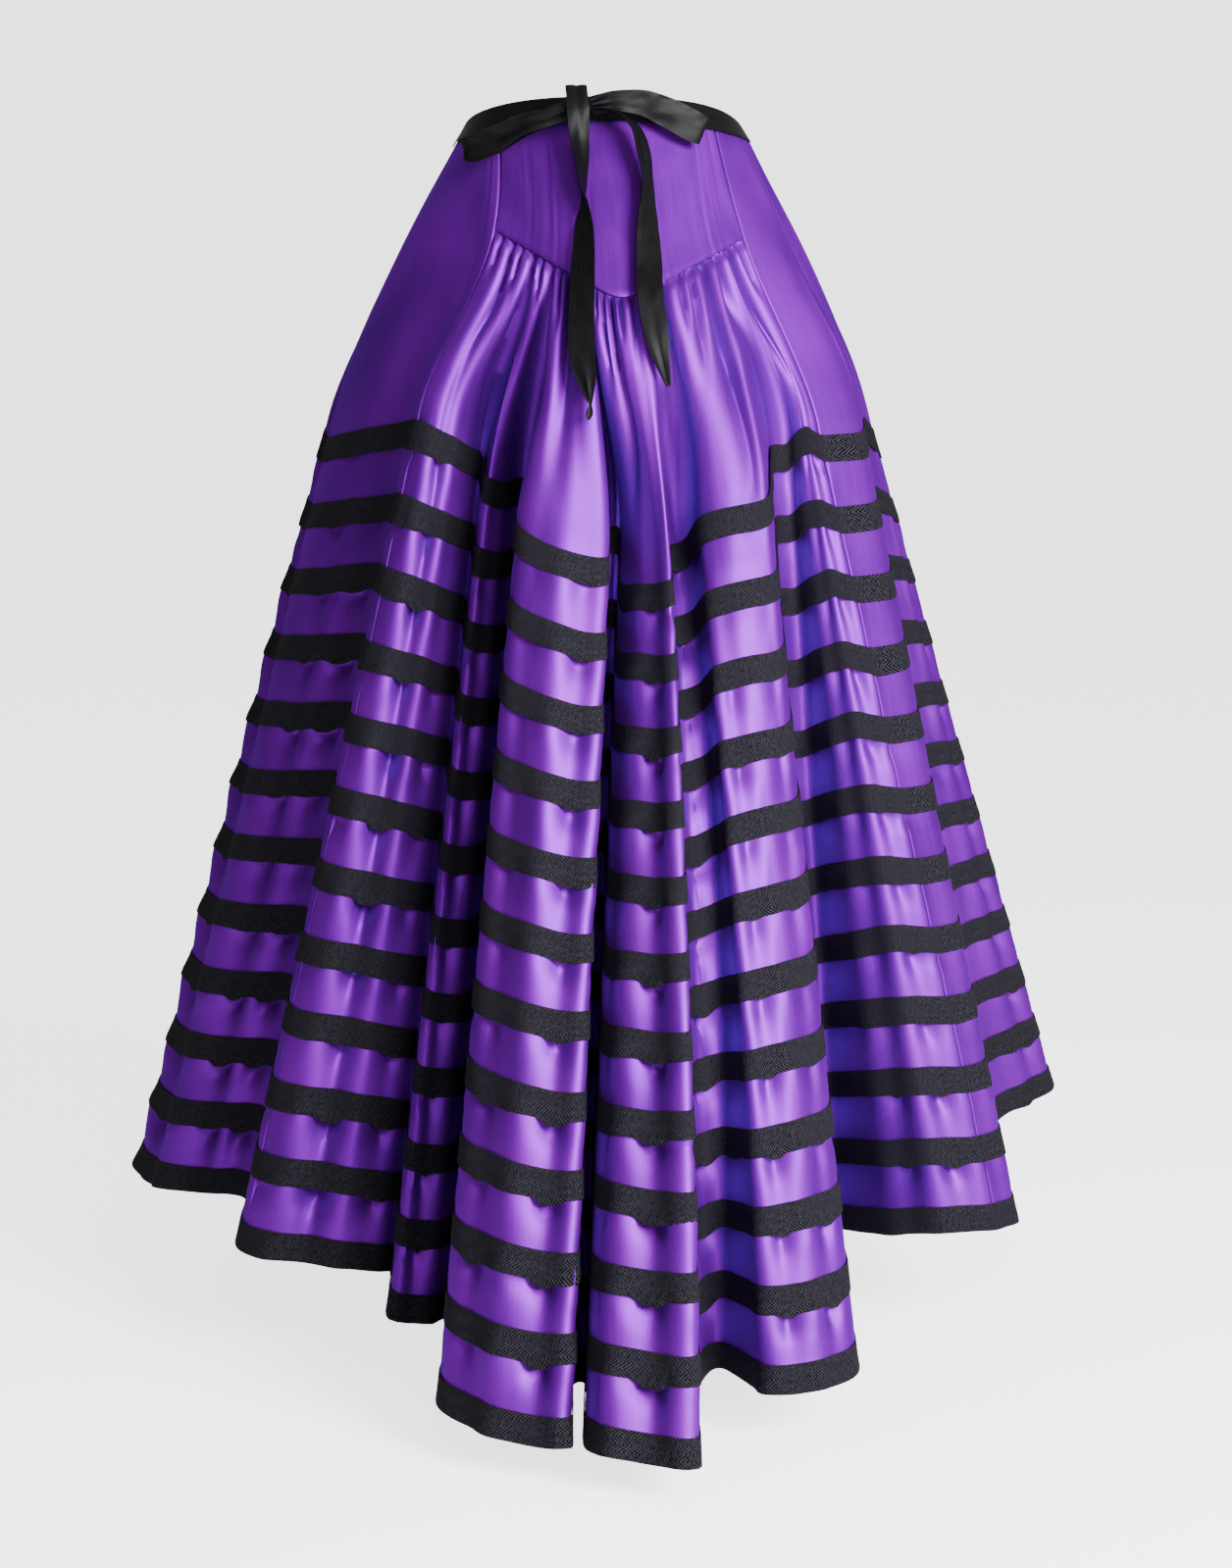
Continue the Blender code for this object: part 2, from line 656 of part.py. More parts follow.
def ribbon_object(name, rows, finish, collection):
    """Closed ribbon along rows of four corners: outer top, outer bottom, inner bottom and inner top."""
    faces = []
    for row in range(len(rows) - 1):
        for side in range(4):
            a, b = row * 4 + side, row * 4 + (side + 1) % 4
            if side < 2:
                faces += [(a, b, b + 4), (a, b + 4, a + 4)]
            else:
                faces += [(a, b, a + 4), (b, b + 4, a + 4)]
    last = (len(rows) - 1) * 4
    faces += [(3, 2, 1, 0), (last, last + 1, last + 2, last + 3)]
    mesh = bpy.data.meshes.new(name)
    mesh.from_pydata([tuple(point) for point in flat(rows)], [], faces)
    mesh.shade_smooth()
    mesh.set_sharp_from_angle(angle=math.radians(50))
    mesh.materials.append(finish)
    made = bpy.data.objects.new(name, mesh)
    collection.objects.link(made)
    return made


def waist_ribbon(finish, collection):
    """Ribbon on the outside of the waist edge, its ends at the two sides."""
    rows = []
    low, high = -2.0, place_of_seam(RIGHT_FRONT_SEAM)
    for step in range(RIBBON_CUTS + 1):
        turn = RIBBON_TURNS[0] + (RIBBON_TURNS[1] - RIBBON_TURNS[0]) * step / RIBBON_CUTS
        place = place_of_turn(turn, low, high)
        top = upper_point(place, 0)
        down = (upper_point(place, LOOK) - top).normalized()
        out = waist_outward(turn)
        out = (out - down * out.dot(down)).normalized()
        edge = top - down * RIBBON_TOP
        inner, outer = out * TAPE_GAP * 2, out * (TAPE_GAP * 2 + TAPE_THICK)
        foot = edge + down * TAPE_WIDTH
        rows.append([edge + outer, foot + outer, foot + inner, edge + inner])
    return ribbon_object("waist_ribbon", rows, finish, collection)


def smooth_stop(stops, step):
    """Place, width and lean between the stops, on a curve through them."""
    last = len(stops) - 1
    index = min(int(step), last - 1)
    share = step - index
    near = [stops[min(max(index + offset, 0), last)] for offset in (-1, 0, 1, 2)]
    mixed = []
    for before, here, there, after in zip(*near):
        run, next_run = (there - before) / 2, (after - here) / 2
        back = 1 - share
        mixed.append(
            here * back**2 * (1 + 2 * share)
            + run * share * back**2
            + there * share**2 * (1 + 2 * back)
            - next_run * share**2 * back
        )
    return Stop(*mixed)


def bow_ribbon(name, stops, hangs, finish, collection):
    """Ribbon through its stops. A hanging one is wide across, and a loop is wide upwards."""
    count = (len(stops) - 1) * STEPS_BETWEEN_STOPS
    samples = [smooth_stop(stops, step / STEPS_BETWEEN_STOPS) for step in range(count + 1)]
    points = [Vector((stop.x, -stop.back, stop.up)) * MM for stop in samples]
    rows = []
    for i, (stop, point) in enumerate(zip(samples, points)):
        along = points[min(i + 1, count)] - points[max(i - 1, 0)]
        lean = math.radians(stop.lean)
        if hangs:
            across = Vector((math.cos(lean), math.sin(lean), 0))
        else:
            across = Vector((math.sin(lean), 0, math.cos(lean)))
        across = (across - along * across.dot(along) / along.length_squared).normalized()
        out = across.cross(along).normalized() * (RIBBON_THICK / 2)
        side = across * (stop.width * MM / 2)
        rows.append([point + side - out, point - side - out, point - side + out, point + side + out])
    return ribbon_object(name, rows, finish, collection)


def bow_knot(finish, collection):
    """Soft square knot between the loops."""
    bpy.ops.mesh.primitive_cube_add(size=1, location=KNOT_MIDDLE)
    knot = bpy.context.object
    knot.name = knot.data.name = "bow_knot"
    knot.data.transform(Matrix.Diagonal((*KNOT_SIZE, 1)))
    rounding = knot.modifiers.new("Round", "BEVEL")
    rounding.width = KNOT_ROUND
    rounding.segments = 3
    knot.data.shade_smooth()
    knot.data.materials.append(finish)
    for home in list(knot.users_collection):
        home.objects.unlink(knot)
    collection.objects.link(knot)
    return knot


def yoke_turns():
    """Columns of the yoke, with one at its point."""
    shares = [YOKE_POINT_SHARE * step / YOKE_SIDE_CUTS for step in range(YOKE_SIDE_CUTS)]
    rest = 1 - YOKE_POINT_SHARE
    shares += [YOKE_POINT_SHARE + rest * step / YOKE_SIDE_CUTS for step in range(YOKE_SIDE_CUTS + 1)]
    return [LEFT_TURN + (RIGHT_TURN - LEFT_TURN) * share for share in shares]


def build():
    """All pieces of the skirt."""
    for old in list(bpy.data.objects):
        bpy.data.objects.remove(old)
    skirt = bpy.data.collections.new("walking_skirt")
    bpy.context.scene.collection.children.link(skirt)
    satin = material("purple_satin", (0.13, 0.045, 0.42), 0.35)
    tape = material("black_tape", (0.012, 0.012, 0.014), 0.8)

    columns = Columns()
    back_yoke(columns, satin, skirt)
    back_panel("back_panel_left", 0, columns, satin, skirt)
    back_panel("back_panel_right", 1, columns, satin, skirt)
    plain_panel("right_side_panel", 1, columns, satin, skirt)
    plain_panel("front_panel", 2, columns, satin, skirt)
    plain_panel("left_side_panel", 3, columns, satin, skirt)
    tape_ring("hem_binding", 0.0, columns, tape, skirt)
    for number in range(1, TAPE_COUNT + 1):
        tape_ring(f"tape_{number:02d}", number * TAPE_PITCH, columns, tape, skirt)
    waist_ribbon(tape, skirt)
    bow_knot(tape, skirt)
    bow_ribbon("bow_loop_left", LEFT_LOOP, False, tape, skirt)
    bow_ribbon("bow_loop_right", RIGHT_LOOP, False, tape, skirt)
    bow_ribbon("bow_tail_left", LEFT_TAIL, True, tape, skirt)
    bow_ribbon("bow_tail_right", RIGHT_TAIL, True, tape, skirt)


build()
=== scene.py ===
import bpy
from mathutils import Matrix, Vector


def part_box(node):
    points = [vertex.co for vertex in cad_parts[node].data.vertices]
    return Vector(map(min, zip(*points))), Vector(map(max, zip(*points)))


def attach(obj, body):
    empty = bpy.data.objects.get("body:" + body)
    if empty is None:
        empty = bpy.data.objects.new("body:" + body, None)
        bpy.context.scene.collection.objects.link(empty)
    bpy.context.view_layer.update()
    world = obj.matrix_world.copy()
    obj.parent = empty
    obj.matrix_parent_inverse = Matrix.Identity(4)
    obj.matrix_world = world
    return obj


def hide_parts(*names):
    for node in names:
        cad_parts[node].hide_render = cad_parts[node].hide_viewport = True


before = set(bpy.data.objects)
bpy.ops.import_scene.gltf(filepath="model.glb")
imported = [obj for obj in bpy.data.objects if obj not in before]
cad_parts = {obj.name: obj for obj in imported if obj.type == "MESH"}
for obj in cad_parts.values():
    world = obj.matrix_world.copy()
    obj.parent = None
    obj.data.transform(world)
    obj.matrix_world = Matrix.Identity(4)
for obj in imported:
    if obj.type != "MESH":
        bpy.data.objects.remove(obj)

"""Look of the back-gathered walking skirt, seen from behind.

The waist centre is the origin, +Z is up and the back of the skirt faces -Y. Sizes are in metres unless a
table says millimetres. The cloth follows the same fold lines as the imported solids, with finer flutes,
gathers and the pull of the sewn tapes added to them.
"""

import logging
import math
from dataclasses import dataclass, field
from enum import Enum

import bpy
import numpy as np
from mathutils import Matrix, Vector
from numpy.typing import NDArray

Array = NDArray[np.float64]
LOG = logging.getLogger("walking_skirt")
MM = 0.001
FULL_TURN = 360.0
# Steps for each fold line when curves are looked up, and how far off the slope of the cloth is looked for
FINE_STEPS = 60
LOOK = 0.02
# Edges that turn more than this stay sharp in the shading
SHARP_EDGE_DEGREES = 55


@dataclass(frozen=True)
class FoldLine:
    """One fold line of the skirt, from the hem to the top tape ring.

    turn is its place on the waist in degrees: 0 left side, 90 centre back, 180 right side. The other
    values are millimetres: where it meets the hem and the top ring, how much lower than taut it hangs, how
    far it swells at half height, and the reach of its rounded corner at the hem.
    """

    name: str
    turn: float
    hem_x: float
    hem_back: float
    hem_z: float
    band_x: float
    band_back: float
    sink: float
    belly: float
    soft: float


FOLDS: tuple[FoldLine, ...] = (
    FoldLine("left_side", 4, -438, -10, -974, -258, -48, 10, 0, 60),
    FoldLine("left_side_back", 20, -386, 46, -970, -222, 46, 12, 0, 60),
    FoldLine("valley_ab", 38, -321, 62, -968, -171, 98, 10, 0, 30),
    FoldLine("b_left", 46, -322, 200, -986, -161, 148, -14, 0, 34),
    FoldLine("b_middle", 54, -256, 224, -989, -134, 158, 0, 0, 50),
    FoldLine("b_right", 59, -190, 212, -1001, -110, 132, 8, 0, 30),
    FoldLine("valley_bc", 60, -181, 182, -1006, -102, 104, 6, 0, 20),
    FoldLine("c_left", 61, -178, 294, -1022, -97, 156, 4, 0, 26),
    FoldLine("c_right", 65, -140, 272, -1030, -78, 136, 2, 0, 26),
    FoldLine("valley_cd_left", 66, -124, 226, -1032, -70, 112, 0, 0, 14),
    FoldLine("valley_cd_right", 67, -106, 226, -1034, -58, 112, 0, 0, 14),
    FoldLine("d_left", 68, -130, 440, -1052, -68, 252, 4, 0, 36),
    FoldLine("d_middle", 74, -68, 492, -1061, -29, 270, 6, 0, 50),
    FoldLine("d_right", 80, -16, 512, -1063, 13, 264, 6, 0, 26),
    FoldLine("slot_left", 80.6, -18, 336, -1062, 12, 178, 6, 0, 14),
    FoldLine("slot_right", 81.4, -5, 336, -1060, 24, 178, 6, 0, 14),
    FoldLine("e_left", 82, -5, 522, -1060, 23, 216, 8, 8, 26),
    FoldLine("e_middle", 91, 40, 544, -1061, 47, 252, 10, 10, 50),
    FoldLine("e_right", 100, 86, 560, -1064, 69, 272, 8, 10, 34),
    FoldLine("valley_ef_left", 101.5, 84, 404, -1050, 64, 202, 24, 34, 40),
    FoldLine("valley_ef_right", 105, 106, 330, -1047, 82, 190, 36, 54, 30),
    FoldLine("f_crest", 112, 150, 438, -1044, 95, 230, -4, 12, 40),
    FoldLine("f_right", 126, 224, 396, -1040, 154, 222, -3, -4, 30),
    FoldLine("valley_fg_left", 127.5, 210, 62, -1010, 160, 108, 0, 0, 18),
    FoldLine("valley_fg_right", 129, 230, 24, -1010, 176, 92, 0, 0, 22),
    FoldLine("g_left", 130.5, 262, 92, -998, 184, 104, 0, 0, 40),
    FoldLine("g_middle", 132.5, 318, 142, -984, 194, 108, 0, 0, 50),
    FoldLine("g_seam", 136, 372, 118, -987, 206, 98, 0, 0, 40),
    FoldLine("g_right", 156, 396, 86, -988, 250, 60, 0, 0, 30),
    FoldLine("valley_gh", 163, 372, -92, -962, 252, 14, 8, 0, 40),
    FoldLine("h_left", 169, 412, -172, -944, 262, -4, 17, 0, 50),
    FoldLine("h_right", 182, 490, -248, -931, 271, -44, 12, 0, 50),
    FoldLine("front_valley_1", 198, 412, -330, -932, 246, -112, 0, 0, 60),
    FoldLine("front_crest_1", 214, 350, -432, -934, 216, -164, 0, 0, 60),
    FoldLine("front_valley_2", 232, 240, -412, -934, 162, -184, 0, 0, 60),
    FoldLine("front_crest_2", 248, 165, -492, -934, 106, -212, 0, 0, 60),
    FoldLine("front_valley_3", 262, 62, -456, -934, 42, -212, 0, 0, 60),
    FoldLine("front_crest_3", 276, -30, -506, -934, -20, -222, 0, 0, 60),
    FoldLine("front_valley_4", 291, -130, -446, -936, -84, -206, 0, 0, 60),
    FoldLine("front_crest_4", 306, -228, -470, -938, -146, -192, 0, 0, 60),
    FoldLine("front_valley_5", 322, -292, -380, -944, -190, -158, 0, 0, 60),
    FoldLine("front_crest_5", 336, -384, -330, -952, -238, -132, 0, 0, 60),
    FoldLine("left_valley", 346, -402, -206, -960, -256, -96, 6, 0, 60),
    FoldLine("left_crest", 356, -450, -110, -964, -264, -72, 10, 0, 60),
)


# Fold lines at the yoke's left and right corners, and the place of the centre back seam between them
YOKE_ENDS = (3.0, 27.0)
CENTRE_BACK = 14.5


@dataclass(frozen=True)
class Flute:
    """One soft ridge or trough that runs down the cloth.

    foot and head are its places at the hem and at the top ring, counted in fold lines. wide is its half
    width at the hem and deep its height there, in millimetres, and a trough is negative. reach is how far
    above the hem it has died out, in metres.
    """

    foot: float
    head: float
    wide: float
    deep: float
    reach: float


FLUTES: tuple[Flute, ...] = (
    # left side and lobe A
    Flute(43.55, 43.5, 22, 4.0, 0.86),
    Flute(0.05, 0.0, 20, -3.5, 0.80),
    Flute(0.62, 0.42, 22, 5.0, 0.92),
    Flute(1.08, 0.86, 15, -5.5, 0.84),
    Flute(1.30, 1.12, 12, 2.5, 0.74),
    Flute(1.66, 1.62, 13, -4.5, 0.80),
    # lobe B
    Flute(3.52, 3.60, 15, 4.0, 0.86),
    Flute(3.98, 4.04, 12, -8.5, 0.92),
    Flute(4.30, 4.30, 12, 3.0, 0.90),
    Flute(4.72, 4.70, 14, -3.5, 0.70),
    # lobe C
    Flute(7.10, 7.10, 9, 2.0, 0.80),
    Flute(7.52, 7.50, 9, -3.0, 0.76),
    Flute(7.90, 7.90, 10, 2.5, 0.84),
    # lobe D
    Flute(11.25, 11.30, 12, -3.0, 0.70),
    Flute(11.80, 12.05, 15, 4.5, 0.90),
    Flute(12.36, 12.58, 13, -5.0, 0.90),
    Flute(12.95, 13.05, 12, 3.0, 0.90),
    # lobe E
    Flute(16.02, 16.10, 12, -2.5, 0.60),
    Flute(16.48, 16.66, 15, 4.0, 0.95),
    Flute(17.12, 17.18, 15, -6.0, 0.95),
    Flute(17.66, 17.70, 12, 3.0, 0.80),
    Flute(18.04, 18.02, 12, 2.0, 0.90),
    # lobe F and the valley beside it
    Flute(19.60, 19.60, 20, -4.0, 1.00),
    Flute(20.86, 20.86, 12, 2.5, 0.80),
    Flute(21.18, 21.16, 13, -3.5, 0.76),
    Flute(21.50, 21.46, 16, 3.0, 0.90),
    Flute(21.80, 21.80, 12, -3.0, 0.80),
    # lobe G
    Flute(25.22, 25.20, 16, 2.5, 0.70),
    Flute(25.62, 25.60, 14, -2.5, 0.76),
    Flute(25.98, 26.00, 14, 1.5, 0.60),
    Flute(26.40, 26.36, 17, -3.0, 0.84),
    Flute(26.82, 26.80, 14, 2.0, 0.90),
    Flute(27.34, 27.24, 12, -1.8, 0.86),
    Flute(27.66, 27.60, 16, 2.4, 0.90),
    # right side and lobe H
    Flute(29.60, 29.60, 18, -3.0, 0.70),
    Flute(30.28, 30.20, 15, 3.0, 0.84),
    Flute(30.64, 30.62, 13, -3.5, 0.76),
    Flute(31.30, 31.25, 22, 4.0, 0.90),
    Flute(31.80, 31.80, 16, -3.5, 0.80),
    # front
    Flute(32.40, 32.42, 22, 3.5, 0.84),
    Flute(32.84, 32.90, 15, -3.0, 0.76),
    Flute(33.36, 33.30, 18, -4.5, 0.80),
    Flute(33.72, 33.70, 15, 3.0, 0.70),
    Flute(34.30, 34.34, 22, -3.0, 0.76),
    Flute(34.76, 34.74, 15, 3.5, 0.84),
    Flute(35.20, 35.24, 16, -4.5, 0.86),
    Flute(35.62, 35.60, 18, 3.0, 0.76),
    Flute(36.24, 36.20, 20, 3.0, 0.70),
    Flute(36.70, 36.72, 16, -4.0, 0.84),
    Flute(37.16, 37.20, 18, 3.5, 0.90),
    Flute(37.60, 37.60, 15, -3.5, 0.76),
    Flute(38.28, 38.24, 20, 3.0, 0.80),
    Flute(38.74, 38.76, 16, -3.5, 0.84),
    Flute(39.22, 39.20, 16, 3.0, 0.80),
    Flute(39.68, 39.66, 15, -4.0, 0.76),
    Flute(40.30, 40.34, 20, -2.5, 0.70),
    Flute(40.72, 40.70, 16, 3.0, 0.84),
    Flute(41.28, 41.30, 16, -4.0, 0.80),
    Flute(41.76, 41.74, 18, 3.0, 0.76),
    Flute(42.42, 42.40, 20, -3.5, 0.84),
)


@dataclass(frozen=True)
class Crease:
    """One crease drawn in at the yoke seam, between two puffed ridges.

    share is its place along the seam from the left corner to the right, wide its half width on the same
    scale, deep its depth in millimetres and long how far down the cloth it runs, in metres.
    """

    share: float
    wide: float
    deep: float
    long: float


CREASES: tuple[Crease, ...] = (
    Crease(0.030, 0.010, 4.5, 0.05),
    Crease(0.075, 0.011, 6.0, 0.14),
    Crease(0.112, 0.009, 4.0, 0.05),
    Crease(0.158, 0.012, 6.5, 0.24),
    Crease(0.195, 0.009, 4.0, 0.05),
    Crease(0.232, 0.012, 6.5, 0.24),
    Crease(0.268, 0.009, 4.5, 0.07),
    Crease(0.302, 0.012, 7.0, 0.26),
    Crease(0.345, 0.009, 4.0, 0.06),
    Crease(0.382, 0.010, 5.0, 0.10),
    Crease(0.406, 0.007, 3.5, 0.04),
    Crease(0.430, 0.009, 5.0, 0.11),
    Crease(0.464, 0.011, 6.5, 0.22),
    Crease(0.496, 0.008, 4.0, 0.05),
    Crease(0.545, 0.010, 5.0, 0.08),
    Crease(0.580, 0.009, 4.5, 0.06),
    Crease(0.612, 0.010, 5.0, 0.10),
    Crease(0.664, 0.017, 9.5, 0.34),
    Crease(0.728, 0.010, 4.5, 0.06),
    Crease(0.770, 0.012, 5.5, 0.12),
    Crease(0.830, 0.017, 9.0, 0.30),
    Crease(0.884, 0.012, 6.5, 0.10),
    Crease(0.934, 0.013, 6.5, 0.15),
    Crease(0.974, 0.009, 4.5, 0.06),
)


class Gore(Enum):
    """The satin pieces of the skirt, with the fold places of their two side edges."""

    BACK_LEFT = (YOKE_ENDS[0], CENTRE_BACK)
    BACK_RIGHT = (CENTRE_BACK, YOKE_ENDS[1])
    RIGHT_SIDE = (YOKE_ENDS[1], 32.0)
    FRONT = (32.0, 42.0)
    LEFT_SIDE = (42.0, 47.0)


def unit(vectors: Array) -> Array:
    """Make vectors one long.

    Args:
        vectors: Vectors along the last axis.

    Returns:
        The same directions, each of length one.
    """
    return vectors / np.maximum(np.linalg.norm(vectors, axis=-1, keepdims=True), 1e-12)


def lengths_along(points: Array) -> Array:
    """Measure along a row of points.

    Args:
        points: Points in order.

    Returns:
        Metres from the first point to each one.
    """
    return np.concatenate([[0.0], np.cumsum(np.linalg.norm(np.diff(points, axis=0), axis=1))])


def ramp(values: Array | float, low: float, high: float) -> Array:
    """Smooth step.

    Args:
        values: Numbers to place on the step.
        low: Where the step starts, at 0.
        high: Where it ends, at 1.

    Returns:
        The height of the step at each value.
    """
    share = np.clip((np.asarray(values, float) - low) / (high - low), 0.0, 1.0)
    return share * share * (3 - 2 * share)


# Factors that scatter the corner values of uneven()
SCATTER_ACROSS = 12.9898
SCATTER_ALONG = 78.233
SCATTER_SEED = 37.719
SCATTER_SPREAD = 43758.5453


def uneven(across: Array | float, along: Array | float, seed: float) -> Array:
    """Smooth field without a pattern, the same on each run.

    Args:
        across: First coordinate, one unit for each swell.
        along: Second coordinate.
        seed: Number that sets this field apart from others.

    Returns:
        Values from -1 to 1.
    """
    x, y = np.broadcast_arrays(np.asarray(across, float), np.asarray(along, float))
    cell_x, cell_y = np.floor(x), np.floor(y)
    part_x, part_y = x - cell_x, y - cell_y
    soft_x = part_x**3 * (part_x * (part_x * 6 - 15) + 10)
    soft_y = part_y**3 * (part_y * (part_y * 6 - 15) + 10)

    def corner(step_x: int, step_y: int) -> Array:
        """Value at one corner of the cell."""
        phase = (cell_x + step_x) * SCATTER_ACROSS + (cell_y + step_y) * SCATTER_ALONG + seed * SCATTER_SEED
        wave = np.sin(phase) * SCATTER_SPREAD
        return (wave - np.floor(wave)) * 2 - 1

    low = corner(0, 0) * (1 - soft_x) + corner(1, 0) * soft_x
    high = corner(0, 1) * (1 - soft_x) + corner(1, 1) * soft_x
    return low * (1 - soft_y) + high * soft_y


def hermite(start: Array, start_run: Array, end: Array, end_run: Array, share: float) -> Array:
    """Cubic between two points that leaves and arrives along two runs.

    Args:
        start: First points.
        start_run: Runs on leaving.
        end: Last points.
        end_run: Runs on arriving.
        share: Place between them, from 0 to 1.

    Returns:
        The points at that share.
    """
    rest = 1 - share
    return (
        start * (rest**2 * (1 + 2 * share))
        + start_run * (share * rest**2)
        + end * (share**2 * (1 + 2 * rest))
        - end_run * (share**2 * rest)
    )


@dataclass
class SkirtForm:
    """The sizes of the smooth cloth, and the curves that are worked out from the fold lines.

    A place counts fold lines round the skirt. A level is 0 at the waist, 1 at the hip line or yoke seam,
    2 at the top of the ringed part, and metres more below that.
    """

    tape_width: float = 25 * MM
    tape_count: int = 11
    tape_pitch: float = 66 * MM
    ringed_above: float = 22 * MM
    waist_x: float = 8 * MM
    waist_half_width: float = 136 * MM
    waist_half_back: float = 100 * MM
    waist_half_front: float = 92 * MM
    waist_back_rise: float = 14 * MM
    waist_front_dip: float = 12 * MM
    hip_out: float = 50 * MM
    hip_out_front: float = 28 * MM
    hip_drop: float = 92 * MM
    hip_ease_degrees: float = 45.0
    yoke_left: tuple[float, float, float] = (-0.088, -0.120, -0.086)
    yoke_right: tuple[float, float, float] = (0.135, -0.100, -0.092)
    yoke_point_share: float = 0.51
    yoke_point_drop: float = 60 * MM
    yoke_point_back: float = 90 * MM
    yoke_round: float = 0.24
    yoke_point_round: float = 0.12
    yoke_bulge: float = 0.25
    gather_puff: float = 0.16
    band_soft_share: float = 0.55
    most_reach: float = 0.4
    straight_share: float = 0.2
    seam_columns: tuple[float, ...] = (0.6, 1.2, 2.0, 3.2, 4.8)
    even_step: float = 6 * MM
    even_weights: tuple[float, ...] = (0.0625, 0.25, 0.375, 0.25, 0.0625)

    def __post_init__(self) -> None:
        """Work out the rings of the hem and the top tape from the fold lines."""
        self.count = len(FOLDS)
        self.ringed_length = self.tape_count * self.tape_pitch
        self.top_height = self.ringed_length + self.ringed_above
        self.turns = np.array([fold.turn for fold in FOLDS])
        self.bellies = np.array([fold.belly for fold in FOLDS]) * MM
        self.hem_soft = np.array([fold.soft for fold in FOLDS]) * MM
        self.hem = np.array([(fold.hem_x, -fold.hem_back, fold.hem_z) for fold in FOLDS]) * MM
        across = np.array([(fold.band_x, -fold.band_back) for fold in FOLDS]) * MM
        run = np.linalg.norm(across - self.hem[:, :2], axis=1)
        sink = np.array([fold.sink for fold in FOLDS]) * MM
        rise = np.sqrt(self.ringed_length**2 - run**2) - sink
        self.band = np.column_stack([across, self.hem[:, 2] + rise])
        self.fine_places = np.linspace(0, self.count, self.count * FINE_STEPS + 1)
        self.fine_arc = lengths_along(self.rounded(self.hem, self.hem_soft, self.fine_places))
        ends = np.array(YOKE_ENDS)
        self.left_turn, self.right_turn = self.eased(self.turns, ends, FULL_TURN)
        self.left_ease = self.right_ease = np.zeros(3)
        self.left_ease, self.right_ease = Lines(self, ends).easy

    def eased(self, values: Array, places: Array, lap: float = 0.0) -> Array:
        """Ease the fold lines' values round the skirt.

        Args:
            values: One value for each fold line.
            places: Places to find it at.
            lap: What one turn round the skirt adds.

        Returns:
            The value at each place.
        """
        row = np.floor(places + 0.5).astype(int)
        share = places + 0.5 - row
        laps, index = np.divmod(np.stack([row - 1, row, row + 1]), self.count)
        before, here, after = values[index] + lap * laps
        start, end = (before + here) / 2, (here + after) / 2
        return (1 - share) ** 2 * start + 2 * share * (1 - share) * here + share**2 * end

    def rounded(self, ring: Array, softs: Array, places: Array) -> Array:
        """Follow a closed ring of rounded corners.

        Args:
            ring: Corner points, one for each fold line.
            softs: Reach of each rounded corner.
            places: Places to find points at.

        Returns:
            Points on the ring.
        """
        row = np.floor(places + 0.5).astype(int)
        share = (places + 0.5 - row)[:, None]
        here = ring[row % self.count]
        before, after = ring[(row - 1) % self.count], ring[(row + 1) % self.count]
        back, ahead = before - here, after - here
        back_long = np.linalg.norm(back, axis=1)
        ahead_long = np.linalg.norm(ahead, axis=1)
        most = np.minimum(back_long, ahead_long) * self.most_reach
        reach = np.minimum(softs[row % self.count], most)
        start = here + back * (reach / back_long)[:, None]
        end = here + ahead * (reach / ahead_long)[:, None]
        straight = self.straight_share
        lead = (before + here) / 2
        lead = lead + (start - lead) * share / straight
        tail = end + ((here + after) / 2 - end) * (share - 1 + straight) / straight
        bend = (share - straight) / (1 - 2 * straight)
        low, high = start + (here - start) * bend, here + (end - here) * bend
        corner = low + (high - low) * bend
        return np.where(share < straight, lead, np.where(share > 1 - straight, tail, corner))

    def draped(self, ring: Array, softs: Array, places: Array) -> Array:
        """Follow a ring as cloth does, with its corners eased over a few millimetres more.

        Args:
            ring: Corner points, one for each fold line.
            softs: Reach of each rounded corner.
            places: Places to find points at.

        Returns:
            Points on the ring.
        """
        arcs = self.arc(places)
        half = len(self.even_weights) // 2
        total = np.zeros((len(places), 3))
        for number, weight in enumerate(self.even_weights):
            near = self.place(arcs + (number - half) * self.even_step)
            total += self.rounded(ring, softs, near) * weight
        return total

    def arc(self, places: Array) -> Array:
        """Metres round the hem at each place."""
        laps, rest = np.divmod(places, self.count)
        return np.interp(rest, self.fine_places, self.fine_arc) + laps * self.fine_arc[-1]

    def place(self, arcs: Array) -> Array:
        """Places of points this many metres round the hem."""
        laps, rest = np.divmod(arcs, self.fine_arc[-1])
        return np.interp(rest, self.fine_arc, self.fine_places) + laps * self.count

    def waist(self, turns: Array) -> Array:
        """Points of the waist edge at these turns."""
        angle = np.radians(turns)
        depth = np.where(np.sin(angle) > 0, self.waist_half_back, self.waist_half_front)
        back, front = np.maximum(0, np.sin(angle)), np.maximum(0, -np.sin(angle))
        rise = self.waist_back_rise * back - self.waist_front_dip * front
        across = self.waist_x - self.waist_half_width * np.cos(angle)
        return np.stack([across, -depth * np.sin(angle), rise], axis=-1)

    def outward(self, turns: Array) -> Array:
        """Level directions away from the body at these turns."""
        angle = np.radians(turns)
        depth = np.where(np.sin(angle) > 0, self.waist_half_back, self.waist_half_front)
        level = [-np.cos(angle) / self.waist_half_width, -np.sin(angle) / depth, np.zeros_like(angle)]
        return unit(np.stack(level, axis=-1))

    def plain_hip(self, turns: Array) -> Array:
        """Hip line of a plain gore at these turns."""
        front = np.maximum(0, -np.sin(np.radians(turns)))
        out = self.hip_out + (self.hip_out_front - self.hip_out) * front
        return self.waist(turns) + self.outward(turns) * out[:, None] - np.array([0, 0, self.hip_drop])

    def yoke_share(self, turns: Array) -> Array:
        """Place along the yoke seam, 0 at its left corner and 1 at its right."""
        return (turns % FULL_TURN - self.left_turn) / (self.right_turn - self.left_turn)

